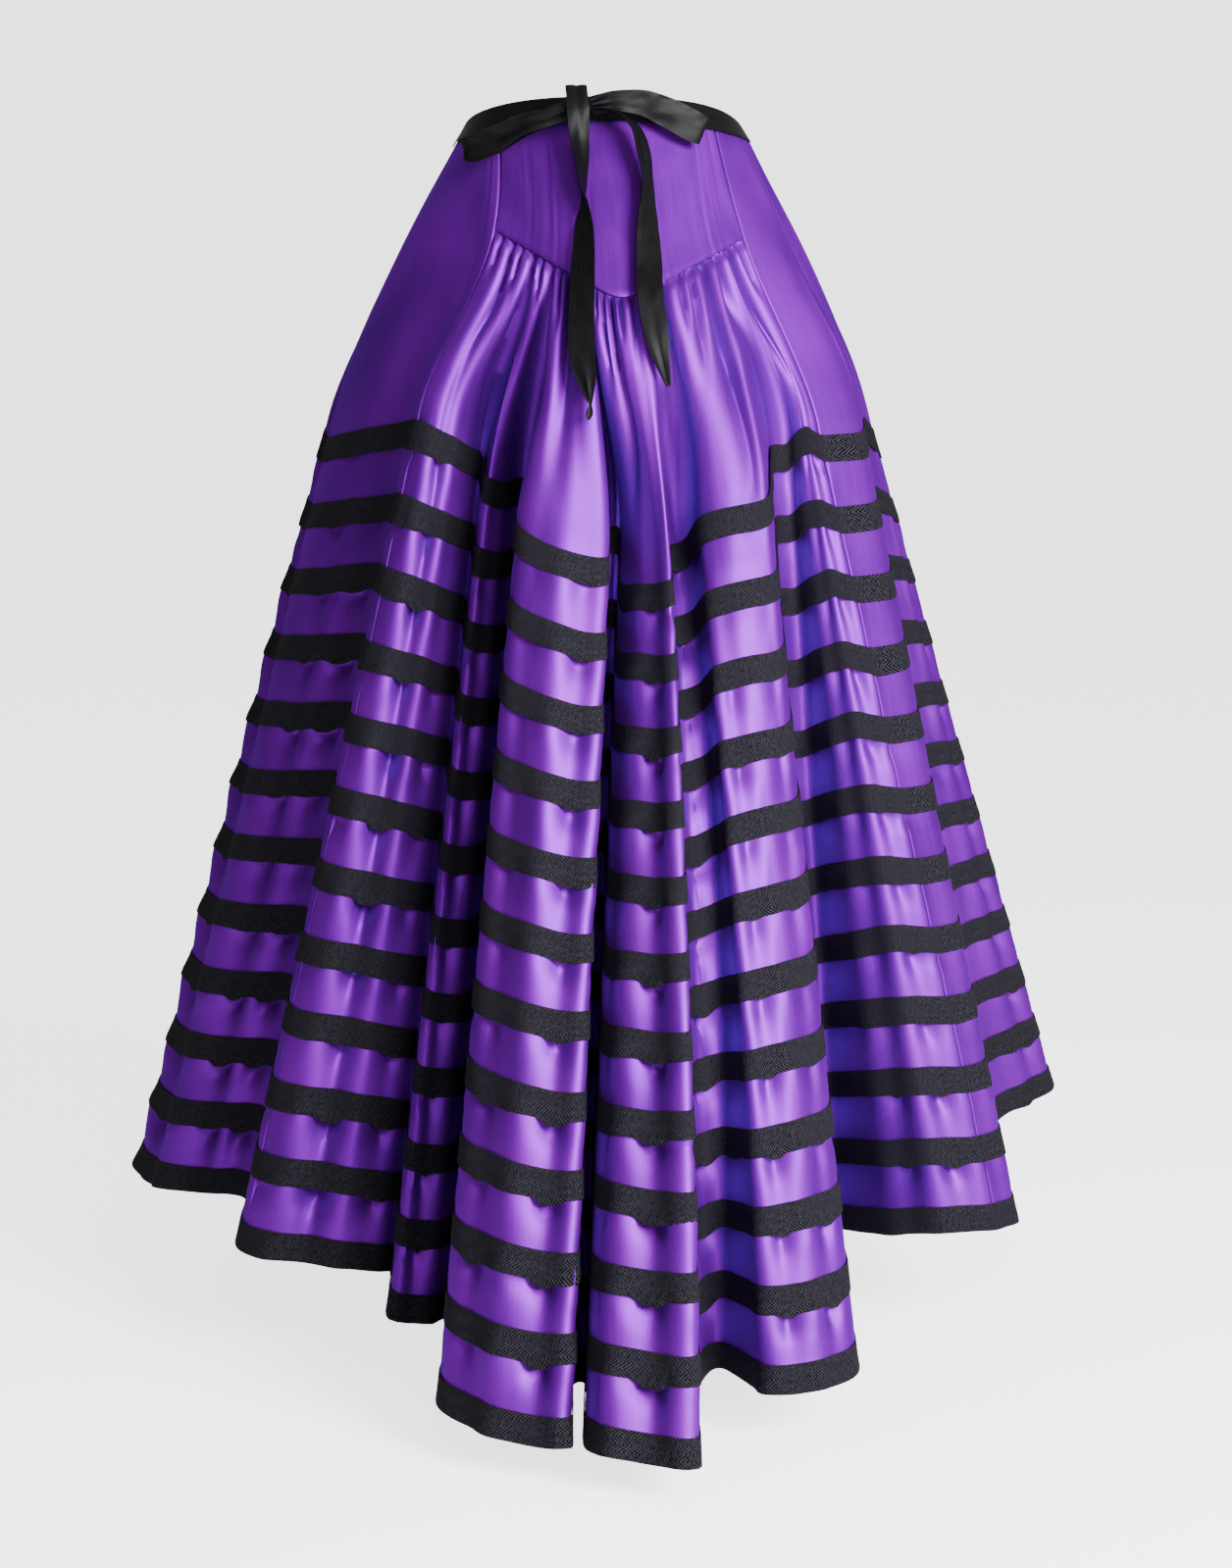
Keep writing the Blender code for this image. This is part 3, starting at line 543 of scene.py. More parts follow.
    @staticmethod
    def rounded_point(near: Array, soft: float) -> Array:
        """Round off a rise to a point.

        Args:
            near: 0 at the ends of the rise and 1 at its point.
            soft: Reach of the rounding, on the same scale.

        Returns:
            The rounded rise, still 0 at the ends and 1 at the point.
        """
        return 1 - (np.hypot(1 - near, soft) - soft) / (math.hypot(1, soft) - soft)

    def hip(self, turns: Array) -> Array:
        """Find the yoke seam at the back and the hip line elsewhere.

        Args:
            turns: Degrees round the waist.

        Returns:
            Points of that line.
        """
        left, right = np.array(self.yoke_left), np.array(self.yoke_right)
        share = self.yoke_share(turns)
        inside = (share >= -1e-9) & (share <= 1 + 1e-9)
        side = np.where(share < self.yoke_point_share, self.yoke_point_share, 1 - self.yoke_point_share)
        near = np.clip(1 - np.abs(share - self.yoke_point_share) / side, 0, 1)
        back = self.yoke_point_back * self.rounded_point(near, self.yoke_round)
        drop = self.yoke_point_drop * self.rounded_point(near, self.yoke_point_round)
        low = np.stack([near * 0, -back, -drop], -1)
        seam = left + (right - left) * np.clip(share, 0, 1)[:, None] + low
        plain = self.plain_hip(turns)
        for corner, corner_turn in ((left, self.left_turn), (right, self.right_turn)):
            away = np.abs((turns - corner_turn + 180) % 360 - 180) / self.hip_ease_degrees
            pull = np.where(away < 1, (1 - away) ** 2 * (1 + 2 * away), 0)
            plain = plain + (corner - self.plain_hip(np.array([corner_turn]))[0]) * pull[:, None]
        return np.where(inside[:, None], seam, plain)

    def columns(self, start: float, end: float, spacing: float) -> Array:
        """Set columns evenly between two places, closer together beside the edges.

        Args:
            start: First place.
            end: Last place.
            spacing: Metres between columns at the hem.

        Returns:
            The places of the columns.
        """
        fine = np.linspace(start, end, int((end - start) * 2 * FINE_STEPS) + 1)
        arc = self.arc(fine)
        band = self.draped(self.band, self.hem_soft * self.band_soft_share, fine)
        band_arc = lengths_along(band)
        turns = self.eased(self.turns, fine, FULL_TURN)
        measure = (arc - arc[0] + band_arc) * 0.6 + (turns - turns[0]) * 3.5 * MM
        total = measure[-1]
        count = max(8, round((arc[-1] - arc[0]) / spacing))
        edge = np.array(self.seam_columns) * MM
        marks = np.unique(np.concatenate([np.linspace(0, total, count + 1), edge, total - edge]))
        return np.interp(marks, measure, fine)


class Lines:
    """The lengthwise lines of the smooth cloth at some places, from the waist to the hem."""

    def __init__(self, form: SkirtForm, places: Array) -> None:
        """Work out where the lines start, pass and end.

        Args:
            form: Sizes of the cloth.
            places: Places of the lines.
        """
        self.form = form
        self.turns = form.eased(form.turns, places, FULL_TURN)
        self.share = form.yoke_share(self.turns)
        self.arcs = form.arc(places)
        self.out = form.outward(self.turns)
        self.hem = form.draped(form.hem, form.hem_soft, places)
        self.band = form.draped(form.band, form.hem_soft * form.band_soft_share, places)
        self.belly = self.out * (form.eased(form.bellies, places) * 4)[:, None]
        self.waist = form.waist(self.turns)
        self.hip = form.hip(self.turns)
        self.top = self.ringed(form.top_height)
        self.arriving = unit(self.ringed(form.top_height - LOOK) - self.ringed(form.top_height + LOOK))
        self.low_run = np.linalg.norm(self.top - self.hip, axis=1)
        self.high_run = np.linalg.norm(self.hip - self.waist, axis=1)
        self.easy = self.hip_ease()
        on_yoke = np.clip(self.share, 0, 1)[:, None]
        bulge = np.array([0, -form.yoke_bulge, 0]) * np.sin(math.pi * on_yoke)
        yoke = unit(form.left_ease + (form.right_ease - form.left_ease) * on_yoke + bulge)
        inside = (self.share >= 0) & (self.share <= 1)
        self.down = np.where(inside[:, None], yoke, self.easy)
        self.puff = self.out * form.gather_puff * np.sin(math.pi * on_yoke)

    def hip_ease(self) -> Array:
        """Directions down the cloth at the hip line of a plain gore."""
        weight = (self.low_run / (self.high_run + self.low_run))[:, None]
        return unit(unit(self.hip - self.waist) * weight + unit(self.top - self.hip) * (1 - weight))

    def ringed(self, height: float) -> Array:
        """Points of the ringed part, this many metres of cloth above the hem binding's centre."""
        share = height / self.form.ringed_length
        return self.hem + (self.band - self.hem) * share + self.belly * share * (1 - share)

    def point(self, level: float) -> Array:
        """Find the points of one row.

        Args:
            level: Level of the row.

        Returns:
            One point for each line.
        """
        if level > 2:
            return self.ringed(self.form.top_height - (level - 2))
        if level > 1:
            run = self.low_run[:, None]
            leaving = (self.down + self.puff) * run
            return hermite(self.hip, leaving, self.top, self.arriving * run, level - 1)
        chord = self.hip - self.waist
        arriving = self.down * self.high_run[:, None]
        return hermite(self.waist, (3 * chord - arriving) / 2, self.hip, arriving, level)

    def height(self, level: float) -> Array:
        """Metres of cloth above the hem binding's centre, one for each line."""
        if level > 2:
            return np.full(len(self.turns), self.form.top_height - (level - 2))
        if level > 1:
            return self.form.top_height + self.low_run * (2 - level)
        return self.form.top_height + self.low_run + self.high_run * (1 - level)

    def below_seam(self, level: float) -> Array:
        """Metres of cloth below the hip line or yoke seam, one for each line."""
        if level > 2:
            return self.low_run + (level - 2)
        return self.low_run * max(0.0, level - 1)


class Cloth(Lines):
    """Lengthwise lines that also know which way is out and which is up."""

    def __init__(self, form: SkirtForm, places: Array) -> None:
        """Work out the lines and the ones close beside them.

        Args:
            form: Sizes of the cloth.
            places: Places of the lines.
        """
        super().__init__(form, places)
        beside = 2 * MM
        arcs = form.arc(places)
        self.left = Lines(form, form.place(arcs - beside))
        self.right = Lines(form, form.place(arcs + beside))

    def up(self, level: float) -> Array:
        """Directions up the cloth along its lines."""
        if level >= 2:
            return unit(self.point(max(2.001, level - LOOK)) - self.point(level + LOOK))
        return unit(self.point(max(0.0, level - LOOK)) - self.point(min(2.0, level + LOOK)))

    def normal(self, level: float) -> Array:
        """Directions straight out of the smooth cloth."""
        return unit(np.cross(self.right.point(level) - self.left.point(level), self.up(level)))


@dataclass
class Relief:
    """How far the cloth and the tapes stand off the smooth form.

    The shares are factors on the flutes: taut at a tape's top, pulled just under a tape, free above the
    rings, and bridged at a tape's lower edge. The others are depths and lengths in metres. Names that end
    in long or fade say how far one soft swell reaches along the cloth.
    """

    form: SkirtForm
    deepen: float = 1.9
    taut_share: float = 0.55
    pulled_share: float = 1.2
    free_share: float = 0.9
    bridged_share: float = 0.3
    flute_widens: float = 0.25
    flute_wanders: float = 0.25
    flute_wander_long: float = 0.11
    flute_lost_at_top: float = 0.45
    crease_depth: float = 1.7
    crease_narrow: float = 0.85
    crease_widens: float = 1.1
    crease_wander: float = 0.006
    pinches: float = 47
    pinch_depth: float = 0.6 * MM
    pinch_long: float = 0.010
    bulge: float = 3.6 * MM
    half_tape: float = 12 * MM
    puff: float = 0.7 * MM
    puff_long: float = 0.055
    pucker: float = 0.35 * MM
    pucker_long: float = 0.011
    pucker_fade: float = 9 * MM
    pull_fade: float = 24 * MM
    upper_softness: float = 0.9 * MM
    crumple: float = 0.35 * MM
    tape_lift: float = 0.8 * MM
    tape_lift_long: float = 0.047
    tape_blend: float = 0.4 * MM
    tape_wander: float = 1.3 * MM
    tape_wander_fine: float = 0.5 * MM
    sag: float = 5.0 * MM
    hollow: float = 4.5 * MM
    hollow_long: float = 0.09
    lip: float = 1.8 * MM

    def __post_init__(self) -> None:
        """Find the flutes' feet and heads round the hem."""
        self.feet = self.form.arc(np.array([flute.foot for flute in FLUTES]))
        self.heads = self.form.arc(np.array([flute.head for flute in FLUTES]))

    def flutes(self, cloth: Lines, heights: Array) -> Array:
        """Add up the soft ridges and troughs.

        Args:
            cloth: Lines of the cloth.
            heights: Metres above the hem.

        Returns:
            Height of the relief in metres.
        """
        total = np.zeros(len(cloth.arcs))
        length = self.form.fine_arc[-1]
        rise = np.clip(heights / self.form.ringed_length, 0, 1.3)
        for flute, foot, head in zip(FLUTES, self.feet, self.heads):
            centre = foot + (head - foot) * rise
            away = (cloth.arcs - centre + length / 2) % length - length / 2
            near = np.exp(-((away / (flute.wide * MM * (1 + self.flute_widens * rise))) ** 2))
            fade = 1 - ramp(heights, flute.reach * 0.62, flute.reach + 0.06)
            wander = uneven(heights / self.flute_wander_long, 0.0, flute.foot * 3.1)
            total += flute.deep * MM * near * fade * (1 + self.flute_wanders * wander)
        return self.deepen * total * (1 - self.flute_lost_at_top * np.clip(rise, 0, 1))

    def gathers(self, cloth: Lines, below: Array) -> Array:
        """Add up the creases drawn in at the yoke seam, and the puff between them.

        Args:
            cloth: Lines of the cloth.
            below: Metres of cloth below the yoke seam.

        Returns:
            Height of the relief in metres.
        """
        share = cloth.share
        total = np.zeros(len(share))
        for number, crease in enumerate(CREASES):
            wander = self.crease_wander * uneven(below / 0.06, number * 1.9, 7.0) * ramp(below, 0.0, 0.05)
            wide = self.crease_narrow * crease.wide * (1 + self.crease_widens * ramp(below, 0.0, 0.16))
            near = (1 + ((share - crease.share - wander) / wide) ** 2) ** -1.5
            fall = 1 - ramp(below, crease.long * 0.3, crease.long)
            total -= self.crease_depth * crease.deep * MM * near * fall
        pinch = np.cos(2 * math.pi * (self.pinches * share + 0.8 * uneven(share * 14, 0.0, 4.0)))
        drawn = np.exp(-below / self.pinch_long) * (1 + 0.7 * uneven(share * 31, 0.0, 9.0))
        total += pinch * self.pinch_depth * drawn
        rise = 0.6 + 0.4 * ramp(below, 0.0, 0.012)
        bulge = self.bulge * ramp(below, 0.001, 0.012) * (1 - ramp(below, 0.03, 0.14))
        inside = ramp(share, -0.002, 0.012) * (1 - ramp(share, 0.988, 1.002))
        return (total * rise + bulge) * inside

    def from_tape(self, heights: Array) -> tuple[Array, Array]:
        """Find the nearest tape.

        Args:
            heights: Metres above the hem.

        Returns:
            Metres above that tape's centre, and its number.
        """
        pitch = self.form.tape_pitch
        number = np.clip(np.round(heights / pitch), 0, self.form.tape_count)
        return heights - number * pitch, number

    def looseness(self, away: Array) -> Array:
        """How free the cloth is, this far above a tape's centre: 0 where it is sewn and 1 between tapes."""
        return np.maximum(ramp(away, 8 * MM, 30 * MM), ramp(-away, -1 * MM, 12 * MM))

    def under_tape(self, heights: Array) -> tuple[Array, Array]:
        """Find the tape that the cloth hangs from.

        Args:
            heights: Metres above the hem.

        Returns:
            That tape's number, and metres below its lower edge.
        """
        under = np.ceil(heights / self.form.tape_pitch - 0.19)
        return under, under * self.form.tape_pitch - self.half_tape - heights

    def pull(self, heights: Array) -> Array:
        """Find how strongly the flutes stand: most under each tape, and least at the next tape's top.

        Args:
            heights: Metres above the hem.

        Returns:
            Factor on the flutes' height.
        """
        under, drop = self.under_tape(heights)
        fading = np.exp(-((drop / self.pull_fade) ** 2))
        gained = np.where(drop < 0, ramp(drop, -24.5 * MM, 0.0), fading)
        held = self.taut_share + (self.pulled_share - self.taut_share) * gained
        above = ramp(heights, self.form.ringed_length + 12 * MM, self.form.ringed_length + 90 * MM)
        free = self.taut_share + (self.free_share - self.taut_share) * above
        return np.where(under <= self.form.tape_count, held, free)

    def slack(self, cloth: Lines, number: Array | float) -> Array:
        """Find where the cloth hangs away under a tape, in a short dark hollow.

        Args:
            cloth: Lines of the cloth.
            number: Tapes' numbers, counted up from the hem.

        Returns:
            0 where it lies close, up to 1 in the middle of a hollow.
        """
        heights = np.zeros(len(cloth.arcs)) + number * self.form.tape_pitch
        trough = ramp(-self.flutes(cloth, heights), 0.5 * MM, 7.5 * MM)
        chance = uneven(cloth.arcs / self.hollow_long, number * 2.3, 33.0)
        extra = ramp(uneven(cloth.arcs / self.puff_long, number * 1.3, 34.0), 0.2, 0.95)
        return np.maximum(trough * ramp(chance, -0.9, 0.0), 0.55 * extra)

    def satin(self, cloth: Lines, heights: Array, below: Array) -> Array:
        """Relief of the satin.

        Args:
            cloth: Lines of the cloth.
            heights: Metres above the hem.
            below: Metres of cloth below the hip line, 0 above it.

        Returns:
            Metres out of the smooth form, one for each line.
        """
        form, arcs = self.form, cloth.arcs
        away, number = self.from_tape(heights)
        loose = self.looseness(away)
        flutes = self.flutes(cloth, heights)
        under, drop = self.under_tape(heights)
        total = flutes * self.pull(heights)
        ringed = 1 - ramp(heights, form.ringed_length + 0.02, form.ringed_length + 0.08)
        swell = 0.5 + 0.5 * uneven(arcs / self.puff_long, number * 3.3, 2.0)
        between = ramp(np.abs(away), self.half_tape, 26 * MM)
        total += self.puff * swell * between * ringed
        sewn = np.exp(-np.maximum(0, np.abs(away) - self.half_tape) / self.pucker_fade)
        total += self.pucker * sewn * ringed * uneven(arcs / self.pucker_long, number * 5.1, 8.0)
        total += self.crumples(arcs, heights) * (0.35 + 0.65 * loose)
        held = (under > 0) & (under <= form.tape_count)
        dent = ramp(drop, -3 * MM, 4 * MM) * (1 - ramp(drop, 7 * MM, 22 * MM))
        total -= self.hollow * np.where(held, self.slack(cloth, under) * dent, 0.0)
        upper = ramp(heights, form.ringed_length, form.ringed_length + 0.10)
        soft = uneven(cloth.turns / 15.0 + heights / 0.16, heights / 0.13 - cloth.turns / 40.0, 21.0)
        total += upper * self.upper_softness * soft
        if below.max() > 0:
            total += self.gathers(cloth, below)
        return total

    def crumples(self, arcs: Array, heights: Array) -> Array:
        """Small unevenness of worn satin, longer down the cloth than across."""
        broad = uneven(arcs / 0.034, heights / 0.10, 11.0)
        fine = uneven(arcs / 0.017, heights / 0.045, 12.0)
        return self.crumple * (broad + 0.45 * fine)

    def tape(self, cloth: Lines, height: float, number: int) -> Array:
        """Relief of a tape. It follows the ridges and bridges the troughs, most at its lower edge.

        Args:
            cloth: Lines of the cloth.
            height: Metres above the hem of this row.
            number: Counted up from the hem, which is 0.

        Returns:
            Metres out of the smooth form.
        """
        heights = np.full(len(cloth.arcs), height)
        flutes = self.flutes(cloth, heights)
        away = height - number * self.form.tape_pitch
        low = 0.5 - away / self.form.tape_width
        bridged = self.taut_share + (self.bridged_share - self.taut_share) * low
        raised = ramp(uneven(cloth.arcs / self.tape_lift_long, number * 2.9, 31.0), -0.2, 0.9)
        lift = self.tape_lift * low**2 * raised + self.lip * low**3 * self.slack(cloth, float(number))
        spanning = flutes * bridged + lift
        satin = self.satin(cloth, heights, cloth.below_seam(2 + self.form.top_height - height))
        return (spanning + satin + np.sqrt((spanning - satin) ** 2 + self.tape_blend**2)) / 2

    def wobble(self, cloth: Lines, number: int) -> Array:
        """Metres that a tape wanders up and down from its true line."""
        broad = uneven(cloth.arcs / 0.11, number * 1.7, 41.0)
        return self.tape_wander * broad + self.tape_wander_fine * uneven(cloth.arcs / 0.035, number, 42.0)


def linear(code: str) -> tuple[float, float, float, float]:
    """Turn an sRGB hex code to a linear colour.

    Args:
        code: Six hex digits after a hash sign.

    Returns:
        Red, green, blue and alpha.
    """
    parts = [int(code[i:i + 2], 16) / 255 for i in (1, 3, 5)]
    red, green, blue = [c / 12.92 if c <= 0.04045 else ((c + 0.055) / 1.055) ** 2.4 for c in parts]
    return red, green, blue, 1.0


def add_node(
    tree: bpy.types.NodeTree,
    kind: str,
    settings: dict[str, object] | None = None,
    inputs: dict[str | int, object] | None = None,
) -> bpy.types.Node:
    """Add a node with its settings and links.

    Args:
        tree: Material's node tree.
        kind: Node type.
        settings: Properties of the node.
        inputs: Values of its sockets, or the output sockets linked to them.

    Returns:
        The node.
    """
    node = tree.nodes.new(kind)
    for name, value in (settings or {}).items():
        setattr(node, name, value)
    for name, value in (inputs or {}).items():
        if isinstance(value, bpy.types.NodeSocket):
            tree.links.new(value, node.inputs[name])
        else:
            node.inputs[name].default_value = value
    return node


def colour_ramp(node: bpy.types.Node, stops: list[tuple[float, tuple[float, float, float, float]]]) -> None:
    """Set the stops of a colour ramp.

    Args:
        node: Colour ramp node.
        stops: Position and colour of each stop.
    """
    elements = node.color_ramp.elements
    while len(elements) < len(stops):
        elements.new(0.5)
    for element, (position, colour) in zip(elements, stops):
        element.position = position
        element.color = colour


def start_finish(name: str) -> tuple[bpy.types.Material, bpy.types.NodeTree, bpy.types.Node, bpy.types.Node]:
    """Start a material for cloth.

    Args:
        name: The material's name.

    Returns:
        The material, its node tree, its shader, and the node that gives places on the flat cloth.
    """
    made = bpy.data.materials.new(name)
    made.use_nodes = True
    tree = made.node_tree
    place = add_node(tree, "ShaderNodeUVMap", {"uv_map": "cloth"})
    return made, tree, tree.nodes["Principled BSDF"], place


def give_bump(
    tree: bpy.types.NodeTree, shader: bpy.types.Node, relief: bpy.types.NodeSocket, strength: float,
    distance: float,
) -> None:
    """Give a shader the fine relief of a weave.

    Args:
        tree: Material's node tree.
        shader: Its shader.
        relief: Height of the relief.
        strength: Share of the relief that shows.
        distance: Metres from its lowest to its highest.
    """
    bump = add_node(
        tree, "ShaderNodeBump", inputs={"Height": relief, "Strength": strength, "Distance": distance}
    )
    tree.links.new(bump.outputs[0], shader.inputs["Normal"])


@dataclass(frozen=True)
class DuchesseSatin:
    """Purple woven satin: floats run down the cloth, so it shines in bands along the folds."""

    name: str = "purple_duchesse_satin"
    base: str = "#7002A0"
    dark: str = "#600292"
    edge: str = "#B848F4"
    roughness: float = 0.56
    metallic: float = 0.85
    thread_mm: float = 1.4
    cloud_share: float = 0.72

    def make(self) -> bpy.types.Material:
        """Make the satin's material.

        Returns:
            Material whose fine streaks follow the cloth's own length.
        """
        made, tree, shader, place = start_finish(self.name)
        # Threads are 0.1 mm apart, too fine to show, so the streaks are drawn 1.4 mm apart.
        threads = 1000 / self.thread_mm
        stretch = add_node(
            tree, "ShaderNodeMapping", inputs={0: place.outputs[0], "Scale": (threads, threads / 40, 1)}
        )
        streak = add_node(
            tree, "ShaderNodeTexNoise", {"noise_dimensions": "2D"},
            {"Vector": stretch.outputs[0], "Scale": 1.0, "Detail": 2.0, "Roughness": 0.6},
        )
        # Worn satin also varies from hand's breadth to hand's breadth, about 110 mm.
        cloud = add_node(
            tree, "ShaderNodeTexNoise", {"noise_dimensions": "2D"},
            {"Vector": place.outputs[0], "Scale": 9.0, "Detail": 2.0, "Roughness": 0.5},
        )
        half = add_node(
            tree, "ShaderNodeMix", inputs={0: self.cloud_share, 2: streak.outputs[0], 3: cloud.outputs[0]}
        )
        tone = add_node(tree, "ShaderNodeValToRGB", inputs={0: half.outputs[0]})
        colour_ramp(tone, [(0.36, linear(self.dark)), (0.64, linear(self.base))])
        tree.links.new(tone.outputs[0], shader.inputs["Base Color"])
        rough = add_node(
            tree, "ShaderNodeMapRange",
            inputs={0: half.outputs[0], 1: 0.3, 2: 0.7, 3: self.roughness - 0.05, 4: self.roughness + 0.05},
        )
        tree.links.new(rough.outputs[0], shader.inputs["Roughness"])
        give_bump(tree, shader, streak.outputs[0], 0.035, 0.3 * MM)
        shader.inputs["Metallic"].default_value = self.metallic
        shader.inputs["Specular Tint"].default_value = linear(self.edge)
        return made


@dataclass(frozen=True)
class SatinReverse:
    """Dull underside of the satin, where the floats don't show."""

    name: str = "satin_reverse"
    base: str = "#4A2488"
    dark: str = "#3E1D76"
    weave_mm: float = 1000 / 420
    roughness: float = 0.72

    def make(self) -> bpy.types.Material:
        """Make the underside's material.

        Returns:
            Matt purple with a fine weave.
        """
        made, tree, shader, place = start_finish(self.name)
        # The weave is 0.2 mm, too fine to show, so it is drawn at 2.4 mm.
        weave = add_node(
            tree, "ShaderNodeTexNoise", {"noise_dimensions": "2D"},
            {"Vector": place.outputs[0], "Scale": 1000 / self.weave_mm, "Detail": 1.0},
        )
        tone = add_node(tree, "ShaderNodeValToRGB", inputs={0: weave.outputs[0]})
        colour_ramp(tone, [(0.3, linear(self.dark)), (0.7, linear(self.base))])
        tree.links.new(tone.outputs[0], shader.inputs["Base Color"])
        shader.inputs["Roughness"].default_value = self.roughness
        return made


@dataclass(frozen=True)
class HerringboneTape:
    """Black cotton herringbone tape: matt, with slanting ribs that catch a little light."""

    name: str = "black_herringbone_tape"
    dark: str = "#020203"
    light: str = "#26242C"
    rib_mm: float = 2.8
    chevron_mm: float = 6.25
    roughness: float = 0.75
    specular: float = 0.05

    def make(self) -> bpy.types.Material:
        """Make the tape's material.

        Returns:
            Material whose ribs change slant four times across the tape.
        """
        made, tree, shader, place = start_finish(self.name)
        split = add_node(tree, "ShaderNodeSeparateXYZ", inputs={0: place.outputs[0]})
        # The slant turns back every 6.25 mm across the tape. Ribs are 0.8 mm apart, drawn at 2.8 mm.
        fold = add_node(
            tree, "ShaderNodeMath", {"operation": "PINGPONG"},
            {0: split.outputs[1], 1: self.chevron_mm * MM},
        )
        slant = add_node(
            tree, "ShaderNodeMath", {"operation": "ADD"}, {0: split.outputs[0], 1: fold.outputs[0]}
        )
        count = add_node(
            tree, "ShaderNodeMath", {"operation": "MULTIPLY"},
            {0: slant.outputs[0], 1: 2 * math.pi / (self.rib_mm * MM)},
        )
        rib = add_node(tree, "ShaderNodeMath", {"operation": "SINE"}, {0: count.outputs[0]})
        # Single threads that catch the light are 0.4 mm, drawn as specks of 3 mm with finer detail.
        speck = add_node(
            tree, "ShaderNodeTexNoise", {"noise_dimensions": "2D"},
            {"Vector": place.outputs[0], "Scale": 330.0, "Detail": 2.0, "Roughness": 0.75},
        )
        level = add_node(
            tree, "ShaderNodeMapRange",
            inputs={0: rib.outputs[0], 1: -1.0, 2: 1.0, 3: 0.0, 4: 0.55},
        )
        total = add_node(
            tree, "ShaderNodeMath", {"operation": "ADD"}, {0: level.outputs[0], 1: speck.outputs[0]}
        )
        tone = add_node(tree, "ShaderNodeValToRGB", inputs={0: total.outputs[0]})
        colour_ramp(tone, [(0.62, linear(self.dark)), (0.98, linear(self.light))])
        tree.links.new(tone.outputs[0], shader.inputs["Base Color"])
        give_bump(tree, shader, total.outputs[0], 0.9, 0.7 * MM)
        shader.inputs["Roughness"].default_value = self.roughness
        shader.inputs["Specular IOR Level"].default_value = self.specular
        return made


@dataclass(frozen=True)
class SatinRibbon:
    """Black woven polyester ribbon: a low sheen, and faint ribs along its length."""

    name: str = "black_satin_ribbon"
    dark: str = "#020203"
    light: str = "#09090B"
    roughness: float = 0.5
    specular: float = 0.11

    def make(self) -> bpy.types.Material:
        """Make the ribbon's material.

        Returns:
            Material with fine ribs along the ribbon's length.
        """
        made, tree, shader, place = start_finish(self.name)
        # Warp threads are 0.1 mm apart, too fine to show, so they are drawn 1.1 mm apart.
        stretch = add_node(
            tree, "ShaderNodeMapping", inputs={0: place.outputs[0], "Scale": (900.0, 60.0, 1)}
        )
        rib = add_node(
            tree, "ShaderNodeTexNoise", {"noise_dimensions": "2D"},
            {"Vector": stretch.outputs[0], "Scale": 1.0, "Detail": 2.0, "Roughness": 0.6},
        )
        tone = add_node(tree, "ShaderNodeValToRGB", inputs={0: rib.outputs[0]})
        colour_ramp(tone, [(0.32, linear(self.dark)), (0.72, linear(self.light))])
        tree.links.new(tone.outputs[0], shader.inputs["Base Color"])
        give_bump(tree, shader, rib.outputs[0], 0.3, 0.3 * MM)
        shader.inputs["Roughness"].default_value = self.roughness
        shader.inputs["Specular IOR Level"].default_value = self.specular
        return made


@dataclass
class Wardrobe:
    """The finishes, made once."""

    satin: bpy.types.Material = field(default_factory=lambda: DuchesseSatin().make())
    reverse: bpy.types.Material = field(default_factory=lambda: SatinReverse().make())
    tape: bpy.types.Material = field(default_factory=lambda: HerringboneTape().make())
    ribbon: bpy.types.Material = field(default_factory=lambda: SatinRibbon().make())


def deselect() -> None:
    """Deselect every object."""
    bpy.ops.object.select_all(action="DESELECT")


def select_only(piece: bpy.types.Object) -> None:
    """Select one piece and make it the active one."""
    deselect()
    piece.select_set(True)
    bpy.context.view_layer.objects.active = piece


def map_cloth(mesh: bpy.types.Mesh, places: Array) -> None:
    """Name a mesh's UV map and fill it.

    Args:
        mesh: Mesh with one UV map.
        places: Each point's place on the flat cloth, in metres.
    """
    corners = np.empty(len(mesh.loops), np.int32)
    mesh.loops.foreach_get("vertex_index", corners)
    layer = mesh.uv_layers[0]
    layer.name = "cloth"
    layer.data.foreach_set("uv", places[corners].reshape(-1))


def draped_grid(
    name: str, points: Array, flats: Array, finishes: list[bpy.types.Material]
) -> bpy.types.Object:
    """Lay a grid of cloth on its points.

    Args:
        name: Name of the piece.
        points: Rows of points from the bottom up, each from left to right seen from outside.
        flats: The same points' places on the flat cloth, in metres.
        finishes: Materials, the outer one first.

    Returns:
        The piece, one layer thick.
    """
    rows, columns = points.shape[:2]
    deselect()
    bpy.ops.mesh.primitive_grid_add(x_subdivisions=columns - 1, y_subdivisions=rows - 1, size=1)
    piece = bpy.context.object
    piece.name = piece.data.name = name
    mesh = piece.data
    if len(mesh.vertices) != rows * columns:
        raise ValueError(f"{name}: the grid has {len(mesh.vertices)} points, not {rows * columns}")
    mesh.vertices.foreach_set("co", points.reshape(-1))
    map_cloth(mesh, flats.reshape(-1, 2))
    mesh.update()
    for finish in finishes:
        mesh.materials.append(finish)
    return piece


def give_thickness(piece: bpy.types.Object, thickness: float, reverse: bool = True) -> None:
    """Give a layer its thickness inwards, and smooth its shading.

    Args:
        piece: One layer of cloth.
        thickness: Metres.
        reverse: True if the inner side has the second material.
    """
    select_only(piece)
    wall = piece.modifiers.new("Thickness", "SOLIDIFY")
    wall.thickness = thickness
    wall.offset = -1.0
    wall.material_offset = 1 if reverse else 0
    bpy.ops.object.modifier_apply(modifier=wall.name)
    bpy.ops.object.shade_smooth_by_angle(angle=math.radians(SHARP_EDGE_DEGREES))


